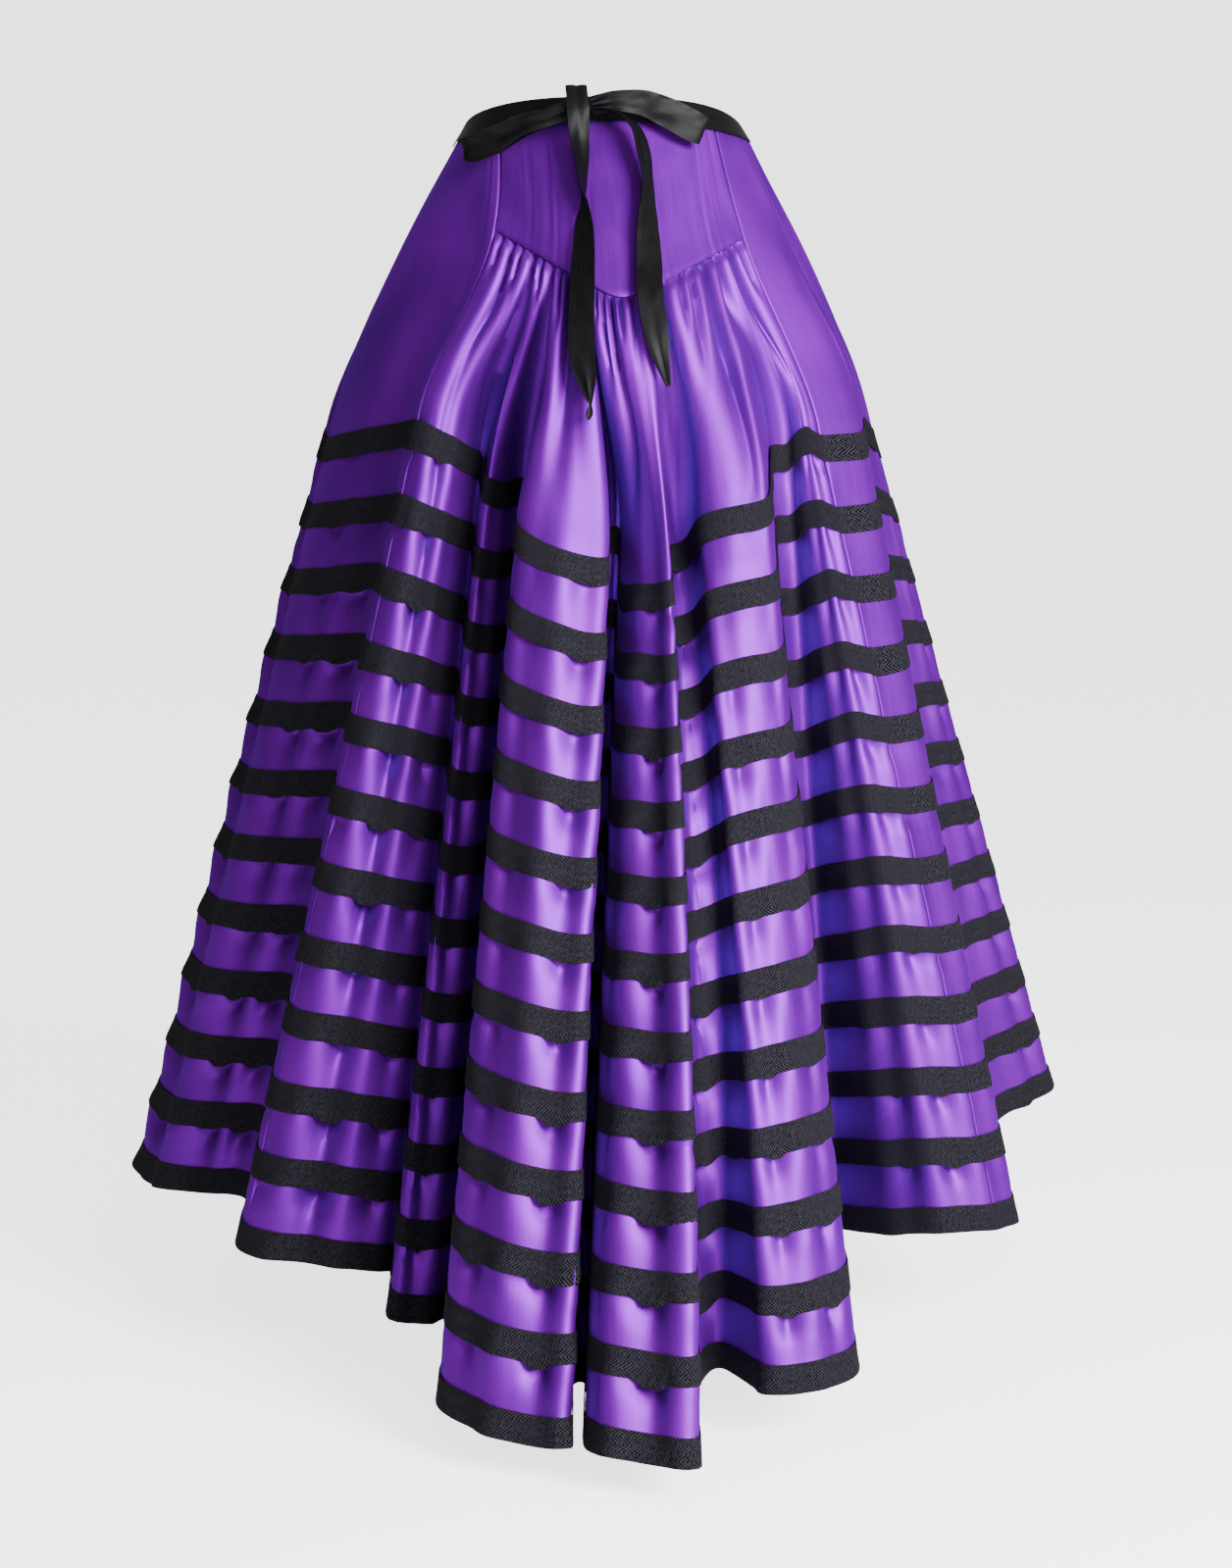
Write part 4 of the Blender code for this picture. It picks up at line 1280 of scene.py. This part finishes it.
@dataclass
class SatinShell:
    """The satin gores and the pointed back yoke, sewn together into the hollow skirt.

    The steps are millimetres of cloth above the hem, above each tape and above the top tape, the turns are
    degrees round the waist, and the rows and columns count how finely a piece is drawn.
    """

    form: SkirtForm
    relief: Relief
    wardrobe: Wardrobe
    spacing: float = 5.8 * MM
    side_spacing: float = 6.5 * MM
    front_spacing: float = 8.5 * MM
    cloth_thick: float = 0.9 * MM
    seam_roll: float = 3.0 * MM
    seam_reach: float = 0.8 * MM
    tuck: float = 2.6 * MM
    tuck_level: float = 0.975
    tuck_depth: float = 2.4 * MM
    hem_steps: tuple[float, ...] = (-12.5, -7)
    row_steps: tuple[float, ...] = (0, 6.5, 11.5, 14, 18, 24, 30, 36, 42, 48, 52, 54, 60)
    top_steps: tuple[float, ...] = (0, 7, 12, 14, 18)
    gathered_rows: int = 44
    gore_rows: tuple[int, int] = (26, 18)
    yoke_edge_turns: tuple[float, ...] = (0.17, 0.35, 0.6, 0.95)
    yoke_edge_levels: tuple[float, ...] = (1.0, 0.99, 0.975, 0.955, 0.93)
    yoke_inner_turns: float = 1.4
    yoke_columns: int = 146
    yoke_rows: int = 40
    yoke_length: float = 0.12
    yoke_width_for_turn: float = 1.1
    yoke_edge_lift: float = 1.2 * MM
    yoke_edge_turned_in: float = 1.3 * MM
    yoke_edge_fade: float = 0.02

    def ringed_levels(self) -> list[float]:
        """Levels of the rows below the top of the ringed part, from the hem edge up.

        Returns:
            The levels, bottom first.
        """
        form = self.form
        heights = [step * MM for step in self.hem_steps]
        for tape in range(form.tape_count):
            heights += [tape * form.tape_pitch + step * MM for step in self.row_steps]
        heights += [form.ringed_length + step * MM for step in self.top_steps]
        return [2 + form.top_height - height for height in heights]

    def rolled(self, points: Array, normals: Array) -> Array:
        """Roll the two side edges of a piece into the seam.

        Args:
            points: Points of one row.
            normals: Directions out of the cloth there.

        Returns:
            The row with its ends drawn in.
        """
        from_left = np.linalg.norm(points - points[0], axis=1)
        from_right = np.linalg.norm(points - points[-1], axis=1)
        near = np.minimum(from_left, from_right)
        return points - normals * (self.seam_roll * np.exp(-((near / self.seam_reach) ** 2)))[:, None]

    def grid(self, cloth: Cloth, levels: list[float]) -> tuple[Array, Array]:
        """Work out a piece's points on its form, with its relief.

        Args:
            cloth: Lines of the piece, one for each column.
            levels: Levels of its rows, bottom first.

        Returns:
            Rows of points, and the same points' places on the flat cloth.
        """
        rows, flats = [], []
        for level in levels:
            normals = cloth.normal(level)
            heights = cloth.height(level)
            relief = self.relief.satin(cloth, heights, cloth.below_seam(level))
            rows.append(self.rolled(cloth.point(level) + normals * relief[:, None], normals))
            flats.append(np.column_stack([cloth.arcs, heights]))
        return np.array(rows), np.array(flats)

    def finish(self, node: str, points: Array, flats: Array, flat: tuple[float, float]) -> bpy.types.Object:
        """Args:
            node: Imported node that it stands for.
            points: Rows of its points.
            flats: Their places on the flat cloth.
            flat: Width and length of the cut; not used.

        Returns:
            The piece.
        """
        piece = draped_grid(f"satin_{node}", points, flats, [self.wardrobe.satin, self.wardrobe.reverse])
        give_thickness(piece, self.cloth_thick)
        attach(piece, "root")
        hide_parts(node)
        return piece

    def back_half(self, gore: Gore, name: str, flat: tuple[float, float]) -> bpy.types.Object:
        """Make one half of the gathered back panel.

        Args:
            gore: Which half.
            name: Name of the node that it stands for.
            flat: Width and length of the cut.

        Returns:
            The piece, tucked under the yoke's edge.
        """
        cloth = Cloth(self.form, self.form.columns(*gore.value, self.spacing))
        upper = [2 - share for share in 1 - (1 - np.linspace(0, 1, self.gathered_rows)) ** 1.5]
        points, flats = self.grid(cloth, self.ringed_levels() + upper)
        tucked = cloth.point(self.tuck_level) - cloth.normal(self.tuck_level) * self.tuck_depth
        points[-1] -= cloth.normal(1.0) * self.tuck
        points = np.concatenate([points, tucked[None]])
        flats = np.concatenate([flats, flats[-1:] + [0, 3 * MM]])
        return self.finish(name, points, flats, flat)

    def plain_gore(
        self, gore: Gore, name: str, flat: tuple[float, float], spacing: float
    ) -> bpy.types.Object:
        """Make a smooth gore from the hem to the waist.

        Args:
            gore: Which gore.
            name: Name of the node that it stands for.
            flat: Width and length of the cut.
            spacing: Metres between columns at the hem.

        Returns:
            The piece.
        """
        cloth = Cloth(self.form, self.form.columns(*gore.value, spacing))
        below_hip, above_hip = self.gore_rows
        levels = self.ringed_levels() + list(np.linspace(2, 1, below_hip))
        levels += list(np.linspace(1, 0, above_hip)[1:])
        points, flats = self.grid(cloth, levels)
        return self.finish(name, points, flats, flat)

    def yoke(self) -> bpy.types.Object:
        """Make the pointed yoke, whose lower edge lies over the gathers.

        Returns:
            The piece.
        """
        form = self.form
        edge = np.array(self.yoke_edge_turns)
        inner = self.yoke_inner_turns
        middle = np.linspace(form.left_turn + inner, form.right_turn - inner, self.yoke_columns)
        turns = np.concatenate([[form.left_turn], form.left_turn + edge, middle])
        turns = np.concatenate([turns, form.right_turn - edge[::-1], [form.right_turn]])
        fine = np.linspace(*YOKE_ENDS, int((YOKE_ENDS[1] - YOKE_ENDS[0]) * 2 * FINE_STEPS) + 1)
        places = np.interp(turns, form.eased(form.turns, fine, FULL_TURN), fine)
        places[0], places[-1] = YOKE_ENDS
        cloth = Cloth(form, places)
        levels = list(self.yoke_edge_levels) + list(np.linspace(0.9, 0, self.yoke_rows))
        points, flats = self.grid(cloth, levels)
        for row, level in enumerate(levels):
            above = (1 - level) * self.yoke_length
            turned = self.yoke_edge_turned_in
            lift = self.yoke_edge_lift - turned * math.exp(-((above / turned) ** 2))
            points[row] += cloth.normal(level) * (lift * math.exp(-above / self.yoke_edge_fade))
        flats[..., 0] = (turns - turns[0]) / FULL_TURN * self.yoke_width_for_turn
        return self.finish("back_yoke", points, flats, (0.29, 0.19))

    def build(self) -> list[bpy.types.Object]:
        """Make every satin piece.

        Returns:
            The pieces.
        """
        return [
            self.back_half(Gore.BACK_LEFT, "back_panel_left", (0.86, 1.01)),
            self.back_half(Gore.BACK_RIGHT, "back_panel_right", (1.24, 1.02)),
            self.plain_gore(Gore.RIGHT_SIDE, "right_side_panel", (0.52, 1.05), self.side_spacing),
            self.plain_gore(Gore.FRONT, "front_panel", (1.06, 1.04), self.front_spacing),
            self.plain_gore(Gore.LEFT_SIDE, "left_side_panel", (0.48, 1.05), self.side_spacing),
            self.yoke(),
        ]


@dataclass
class TapeRings:
    """The eleven tape rings and the hem binding, sewn on along their upper edge.

    join is the fold place where each ring's ends meet, on the left side towards the front.
    """

    form: SkirtForm
    relief: Relief
    wardrobe: Wardrobe
    spacing: float = 6.5 * MM
    thick: float = 0.8 * MM
    clear: float = 0.45 * MM
    rows: tuple[float, ...] = (-12.5, -11.3, -6, 0, 6, 11.3, 12.5)
    join: float = 42.6
    edge_turned_in: float = 0.25 * MM
    hem_wander_share: float = 0.3

    def ring(self, number: int, name: str, satin: list[bpy.types.Object]) -> bpy.types.Object:
        """Make one closed ring of tape.

        Args:
            number: Counted up from the hem, which is 0.
            name: Name of the node that it stands for.
            satin: Pieces that it lies on; not used.

        Returns:
            The piece.
        """
        form = self.form
        cloth = Cloth(form, form.columns(self.join, self.join + form.count, self.spacing))
        centre = number * form.tape_pitch
        at_hem = number == 0
        wobble = self.relief.wobble(cloth, number) * (self.hem_wander_share if at_hem else 1.0)
        sag = self.relief.sag * self.relief.slack(cloth, float(number)) * (0.0 if at_hem else 1.0)
        half = form.tape_width / 2
        rows, flats = [], []
        for away in self.rows:
            height = centre + away * MM
            level = 2 + form.top_height - height
            edge = self.edge_turned_in if away in (self.rows[0], self.rows[-1]) else 0.0
            out = self.relief.tape(cloth, height, number) + self.clear + self.thick - edge
            points = cloth.point(level) + cloth.normal(level) * out[:, None]
            moved = wobble - sag * np.clip(-away * MM / half, 0, 1) ** 2
            rows.append(points + cloth.up(level) * moved[:, None])
            flats.append(np.column_stack([cloth.arcs, np.full(len(cloth.arcs), away * MM + half)]))
        points = np.array(rows)
        points[:, -1] = points[:, 0]
        piece = draped_grid(f"cotton_{name}", points, np.array(flats), [self.wardrobe.tape])
        select_only(piece)
        bpy.ops.object.mode_set(mode="EDIT")
        bpy.ops.mesh.select_all(action="SELECT")
        bpy.ops.mesh.remove_doubles(threshold=1e-6)
        bpy.ops.object.mode_set(mode="OBJECT")
        give_thickness(piece, self.thick, reverse=False)
        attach(piece, "root")
        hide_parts(name)
        return piece

    def build(self, satin: list[bpy.types.Object]) -> list[bpy.types.Object]:
        """Make the binding and all rings.

        Args:
            satin: Pieces that they lie on.

        Returns:
            The pieces.
        """
        made = [self.ring(0, "hem_binding", satin)]
        for number in range(1, self.form.tape_count + 1):
            made.append(self.ring(number, f"tape_{number:02d}", satin))
        return made


@dataclass(frozen=True)
class Stop:
    """A place that a ribbon runs through.

    x, back and up are millimetres, and back is the distance behind the waist centre. width is the
    ribbon's width there in millimetres, and lean how far its width is turned, in degrees.
    """

    x: float
    back: float
    up: float
    width: float
    lean: float


LEFT_LOOP: tuple[Stop, ...] = (
    Stop(-27.5, 110, 17, 15, 0),
    Stop(-45, 108, 11, 15, -3),
    Stop(-66, 104, 4, 17, -6),
    Stop(-90, 96, -7, 21, -9),
    Stop(-106, 90, -12, 21, -10),
    Stop(-113, 90, -13, 20, -10),
    Stop(-117, 94, -13.5, 18, -10),
    Stop(-114, 99, -13, 21, -10),
    Stop(-106, 103, -12.5, 24, -10),
    Stop(-88, 110, -5.5, 24, -9),
    Stop(-64, 117, 6.5, 18.5, -6),
    Stop(-43, 121, 12, 16.5, -4),
    Stop(-25.5, 123, 17.5, 16.5, 0),
)
RIGHT_LOOP: tuple[Stop, ...] = (
    Stop(-1.4, 109, 22, 12, 0),
    Stop(26, 108, 27, 17, 0),
    Stop(46, 107, 25, 21, 4),
    Stop(66, 103, 18, 24, 14),
    Stop(84, 99, 9, 25, 22),
    Stop(95, 97, 4, 24, 24),
    Stop(99, 101, 2.5, 24, 24),
    Stop(96, 106, 3, 25.5, 24),
    Stop(84, 110, 8.5, 27.5, 22),
    Stop(66, 114, 17.5, 26, 14),
    Stop(46, 118, 25.2, 22.5, 4),
    Stop(25, 121, 27, 18.6, 0),
    Stop(13, 121, 26.7, 16, 0),
    Stop(-2, 122, 24.5, 11, 0),
)
LEFT_TAIL: tuple[Stop, ...] = (
    Stop(-15, 110, 36, 18, 0),
    Stop(-15.5, 120, 39.6, 19, 0),
    Stop(-13.6, 131, 19.6, 19.5, 8),
    Stop(-12.7, 134, -6.3, 20, 33),
    Stop(-10.8, 142, -28.4, 20, 55),
    Stop(-10.3, 152, -53.1, 20, 78),
    Stop(-9.7, 164, -72.7, 21, 118),
    Stop(-8.6, 181, -101.1, 22, 142),
    Stop(-9.6, 205, -147.1, 22.5, 164),
    Stop(-9.9, 224, -192.3, 22.5, 172),
    Stop(-6.3, 234, -215.2, 19, 174),
    Stop(-2.9, 242, -236.2, 7, 176),
    Stop(-2, 243, -242.9, 2.4, 176),
    Stop(-2.9, 244, -249.6, 6, 176),
    Stop(-3.7, 245, -255.4, 1.6, 176),
)
RIGHT_TAIL: tuple[Stop, ...] = (
    Stop(-3, 118, 20, 17, 90),
    Stop(11, 121, 19, 17, 86),
    Stop(26, 126, 13.6, 17.5, 74),
    Stop(37.7, 132, 1.8, 18, 60),
    Stop(44, 140, -19.4, 18, 50),
    Stop(47.2, 149, -40.6, 18, 60),
    Stop(48, 161, -65.6, 19, 52),
    Stop(47.8, 176, -88.9, 21, 30),
    Stop(48.9, 194, -119.6, 22.5, 12),
    Stop(49.6, 213, -147.5, 22.5, 6),
    Stop(54.9, 226, -181.6, 20.5, 4),
    Stop(60, 230, -206.7, 13, 4),
    Stop(65.1, 228, -226.7, 4, 4),
)


class Lay(Enum):
    """How a stretch of the bow lies: its width turned upwards, or across."""

    LOOP = "loop"
    HANGING = "hanging"


@dataclass
class WaistBow:
    """The ribbon round the back waist, tied in a bow with two loops and two free tails.

    The ribbon's widths, heights and crumples are millimetres, and its turns are degrees round the waist.
    """

    form: SkirtForm
    wardrobe: Wardrobe
    ribbon_width: float = 22.5
    bunched: float = 0.3
    thick: float = 0.8 * MM
    steps: int = 9
    strands: int = 17
    folds_across: float = 1.5
    most_spare: float = 2.2
    loop_crumple: float = 1.7
    tail_crumple: float = 0.45
    band_turns: tuple[float, float] = (3.0, 168.0)
    ribbon_places: tuple[int, int] = (-2, 32)
    band_columns: int = 170
    band_rows: int = 9
    band_end_height: float = 11.0
    band_extra_height: float = 13.0
    band_below_edge: float = 4.0
    band_ripple: float = 0.35
    band_lean: tuple[float, float] = (2.3, 1.2)
    knot_rounds: int = 5
    knot_folds: float = 3
    knot_fold_depth: float = 0.05
    knot_slimmer: float = 0.96

    def samples(self, stops: tuple[Stop, ...]) -> Array:
        """Run a smooth curve through the stops.

        Args:
            stops: The ribbon's stops.

        Returns:
            Rows of x, back, up, width and lean.
        """
        table = np.array([(stop.x, stop.back, stop.up, stop.width, stop.lean) for stop in stops], float)
        last = len(table) - 1
        found = []
        for step in range(last * self.steps + 1):
            index = min(step // self.steps, last - 1)
            share = step / self.steps - index
            before, here, there, after = [table[min(max(index + k, 0), last)] for k in (-1, 0, 1, 2)]
            found.append(hermite(here, (there - before) / 2, there, (after - here) / 2, share))
        return np.array(found)

    def strip(self, stops: tuple[Stop, ...], lay: Lay) -> tuple[Array, Array]:
        """Work out a ribbon's points, bunched into soft folds where it is drawn in.

        Args:
            stops: The ribbon's stops.
            lay: How it lies.

        Returns:
            Rows of points across the ribbon, and their places on the flat ribbon.
        """
        rows = self.samples(stops)
        centre = np.column_stack([rows[:, 0], -rows[:, 1], rows[:, 2]]) * MM
        along = unit(np.gradient(centre, axis=0))
        lean = np.radians(rows[:, 4])
        if lay is Lay.HANGING:
            across = np.column_stack([np.cos(lean), np.sin(lean), lean * 0])
        else:
            across = np.column_stack([np.sin(lean), lean * 0, np.cos(lean)])
        across = unit(across - along * (across * along).sum(1, keepdims=True))
        out = unit(np.cross(across, along))
        length = lengths_along(centre)
        spread = np.linspace(-1, 1, self.strands)
        width = rows[:, 3]
        spare = np.sqrt(np.clip((self.ribbon_width / width) ** 2 - 1, 0, self.most_spare))
        waves = self.folds_across
        crumple = self.loop_crumple if lay is Lay.LOOP else self.tail_crumple
        depth = width * spare / (2 * math.pi * waves) * self.bunched
        points, cloth = [], []
        for k, centre_point in enumerate(centre):
            crown = -depth[k] * np.cos(math.pi * waves * spread) * (1 - 0.3 * spread**2)
            ripple = crumple * uneven(spread * 1.3 + length[k] / 0.03, length[k] / 0.022, 51.0)
            ripple = ripple + 0.22 * spare[k] * uneven(spread * 3.4, length[k] / 0.05, 52.0)
            offset = (crown + ripple) * MM
            side = spread * width[k] * MM / 2
            points.append(centre_point + across[k] * side[:, None] - out[k] * offset[:, None])
            run = np.full(self.strands, length[k])
            cloth.append(np.column_stack([spread * self.ribbon_width * MM / 2, run]))
        return np.array(points), np.array(cloth)

    def ribbon(self, name: str, stops: tuple[Stop, ...], lay: Lay) -> bpy.types.Object:
        """Make one stretch of the bow.

        Args:
            name: Name of the piece and of the node that it stands for.
            stops: Its stops.
            lay: How it lies.

        Returns:
            The piece.
        """
        points, cloth = self.strip(stops, lay)
        piece = draped_grid(f"tied_{name}", points, cloth, [self.wardrobe.ribbon])
        give_thickness(piece, self.thick, reverse=False)
        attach(piece, "root")
        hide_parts(name)
        return piece

    def waist_ribbon(self) -> bpy.types.Object:
        """Make the ribbon on the waist edge, from one side round the back to the other.

        Returns:
            The piece.
        """
        form = self.form
        turns = np.linspace(*self.band_turns, self.band_columns)
        first, last = self.ribbon_places
        fine = np.linspace(first, last, (last - first) * FINE_STEPS + 1)
        cloth = Lines(form, np.interp(turns, form.eased(form.turns, fine, FULL_TURN), fine))
        top = cloth.point(0.0)
        down = unit(cloth.point(LOOK) - top)
        out = unit(cloth.out - down * (cloth.out * down).sum(1, keepdims=True))
        arcs = lengths_along(top)
        rows, flats = [], []
        height = self.band_end_height + self.band_extra_height * np.sin(np.radians(turns)) ** 0.7
        off_edge, lean = self.band_lean
        for share in np.linspace(0, 1, self.band_rows):
            above = height * share - self.band_below_edge * (1 - share)
            ripple = self.band_ripple * uneven(arcs / 0.03, share * 2.1, 61.0)
            off = off_edge - lean * share
            rows.append(top - down * above[:, None] * MM + out * ((off + ripple) * MM)[:, None])
            flats.append(np.column_stack([above * MM, arcs]))
        piece = draped_grid("sewn_waist_ribbon", np.array(rows), np.array(flats), [self.wardrobe.ribbon])
        give_thickness(piece, self.thick, reverse=False)
        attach(piece, "root")
        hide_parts("waist_ribbon")
        LOG.info("waist_ribbon: %.0f mm of ribbon", arcs[-1] * 1000)
        return piece

    def knot(self) -> bpy.types.Object:
        """Make the knot, a rounded lump with the soft folds of the drawn ribbon.

        Returns:
            The piece.
        """
        low, high = (Vector(corner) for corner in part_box("bow_knot"))
        deselect()
        bpy.ops.mesh.primitive_cube_add(size=1, location=(0, 0, 0))
        piece = bpy.context.object
        piece.name = piece.data.name = "bow_knot_wrap"
        round_off = piece.modifiers.new("Round", "SUBSURF")
        round_off.levels = round_off.render_levels = self.knot_rounds
        bpy.ops.object.modifier_apply(modifier=round_off.name)
        size = high - low
        middle = (high + low) / 2
        mesh = piece.data
        points = np.empty(len(mesh.vertices) * 3)
        mesh.vertices.foreach_get("co", points)
        points = points.reshape(-1, 3)
        points /= np.abs(points).max(axis=0) * 2
        wave = points[:, 2] * 2 * math.pi * self.knot_folds + points[:, 0] * 5
        fold = 1 + self.knot_fold_depth * np.cos(wave)
        points[:, :2] *= fold[:, None] * self.knot_slimmer
        points = points * np.array(size) + np.array(middle)
        mesh.vertices.foreach_set("co", points.reshape(-1))
        mesh.update()
        map_cloth(mesh, points[:, [0, 2]])
        mesh.materials.append(self.wardrobe.ribbon)
        bpy.ops.object.shade_smooth()
        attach(piece, "root")
        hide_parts("bow_knot")
        return piece

    def build(self) -> list[bpy.types.Object]:
        """Make the whole bow.

        Returns:
            The pieces.
        """
        return [
            self.waist_ribbon(),
            self.knot(),
            self.ribbon("bow_loop_left", LEFT_LOOP, Lay.LOOP),
            self.ribbon("bow_loop_right", RIGHT_LOOP, Lay.LOOP),
            self.ribbon("bow_tail_left", LEFT_TAIL, Lay.HANGING),
            self.ribbon("bow_tail_right", RIGHT_TAIL, Lay.HANGING),
        ]


@dataclass(frozen=True)
class Softbox:
    """One soft studio light.

    place is where it stands and aim where it points, in metres. size is its width, power its watts.
    """

    name: str
    place: tuple[float, float, float]
    aim: tuple[float, float, float]
    size: float
    power: float


@dataclass
class Studio:
    """Plain pale floor, soft lights and the camera at the photograph's angle."""

    camera_place: tuple[float, float, float] = (0.02, -2.8, -0.285)
    camera_down_degrees: float = 6.35
    lens: float = 68.0
    floor_z: float = -1.105
    glow_way: tuple[float, float, float] = (0.0, 0.6, 0.8)
    glow_front: float = 0.032
    glow_back: float = 1.2
    backdrop: float = 2.9
    floor_glow: float = 2.6
    lights: tuple[Softbox, ...] = (
        Softbox("key_right", (1.9, -2.7, 0.6), (0.0, 0.0, -0.45), 1.5, 425.0),
        Softbox("fill_front", (0.3, -3.2, 0.9), (0.0, 0.0, -0.5), 1.2, 45.0),
    )

    def camera(self) -> None:
        """Set the camera."""
        lens = bpy.data.cameras.new("photo_camera")
        lens.lens = self.lens
        lens.sensor_width = 36.0
        lens.sensor_fit = "AUTO"
        camera = bpy.data.objects.new("photo_camera", lens)
        camera.location = self.camera_place
        camera.rotation_euler = (math.radians(90 - self.camera_down_degrees), 0, 0)
        bpy.context.scene.collection.objects.link(camera)
        bpy.context.scene.camera = camera

    def floor(self) -> None:
        """Lay the pale floor."""
        deselect()
        bpy.ops.mesh.primitive_plane_add(size=60, location=(0, 0, 0))
        floor = bpy.context.object
        floor.name = floor.data.name = "studio_floor"
        # Its place is in its mesh, 30 mm below the lowest point of the hem.
        floor.data.transform(Matrix.Translation((0, 0, self.floor_z)))
        paint = bpy.data.materials.new("pale_floor_paint")
        paint.use_nodes = True
        shader = paint.node_tree.nodes["Principled BSDF"]
        shader.inputs["Base Color"].default_value = linear("#F4F4F4")
        shader.inputs["Roughness"].default_value = 0.9
        shader.inputs["Emission Color"].default_value = linear("#FAFAFC")
        seen = add_node(paint.node_tree, "ShaderNodeLightPath")
        glow = add_node(
            paint.node_tree, "ShaderNodeMath", {"operation": "MULTIPLY"},
            {0: seen.outputs["Is Camera Ray"], 1: self.floor_glow},
        )
        paint.node_tree.links.new(glow.outputs[0], shader.inputs["Emission Strength"])
        floor.data.materials.append(paint)

    def surround(self) -> None:
        """Set a pale surround, brightest above and behind the skirt and dim behind the camera."""
        world = bpy.data.worlds.new("pale_surround")
        world.use_nodes = True
        tree = world.node_tree
        glow = tree.nodes["Background"]
        glow.inputs["Color"].default_value = linear("#FAFAFC")
        way = add_node(tree, "ShaderNodeTexCoord")
        facing = add_node(
            tree, "ShaderNodeVectorMath", {"operation": "DOT_PRODUCT"},
            {0: way.outputs["Generated"], 1: self.glow_way},
        )
        strength = add_node(
            tree, "ShaderNodeMapRange", {"interpolation_type": "SMOOTHSTEP"},
            {0: facing.outputs["Value"], 1: 0.15, 2: 1.25, 3: self.glow_front, 4: self.glow_back},
        )
        seen = add_node(tree, "ShaderNodeLightPath")
        either = add_node(
            tree, "ShaderNodeMix",
            inputs={0: seen.outputs["Is Camera Ray"], 2: strength.outputs[0], 3: self.backdrop},
        )
        tree.links.new(either.outputs[0], glow.inputs["Strength"])
        bpy.context.scene.world = world

    def light(self) -> None:
        """Set the soft lights."""
        for softbox in self.lights:
            lamp = bpy.data.lights.new(softbox.name, "AREA")
            lamp.size = softbox.size
            lamp.energy = softbox.power
            holder = bpy.data.objects.new(softbox.name, lamp)
            holder.location = softbox.place
            aim = Vector(softbox.aim) - Vector(softbox.place)
            holder.rotation_euler = aim.to_track_quat("-Z", "Y").to_euler()
            bpy.context.scene.collection.objects.link(holder)

    def build(self) -> None:
        """Set up the studio."""
        self.camera()
        self.floor()
        self.surround()
        self.light()


def main() -> None:
    """Build the studio and every piece of the skirt."""
    logging.basicConfig(level=logging.INFO, format="%(message)s")
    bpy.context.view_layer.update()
    Studio().build()
    form = SkirtForm()
    relief = Relief(form)
    wardrobe = Wardrobe()
    satin = SatinShell(form, relief, wardrobe).build()
    TapeRings(form, relief, wardrobe).build(satin)
    WaistBow(form, wardrobe).build()


if __name__ == "__main__":
    main()
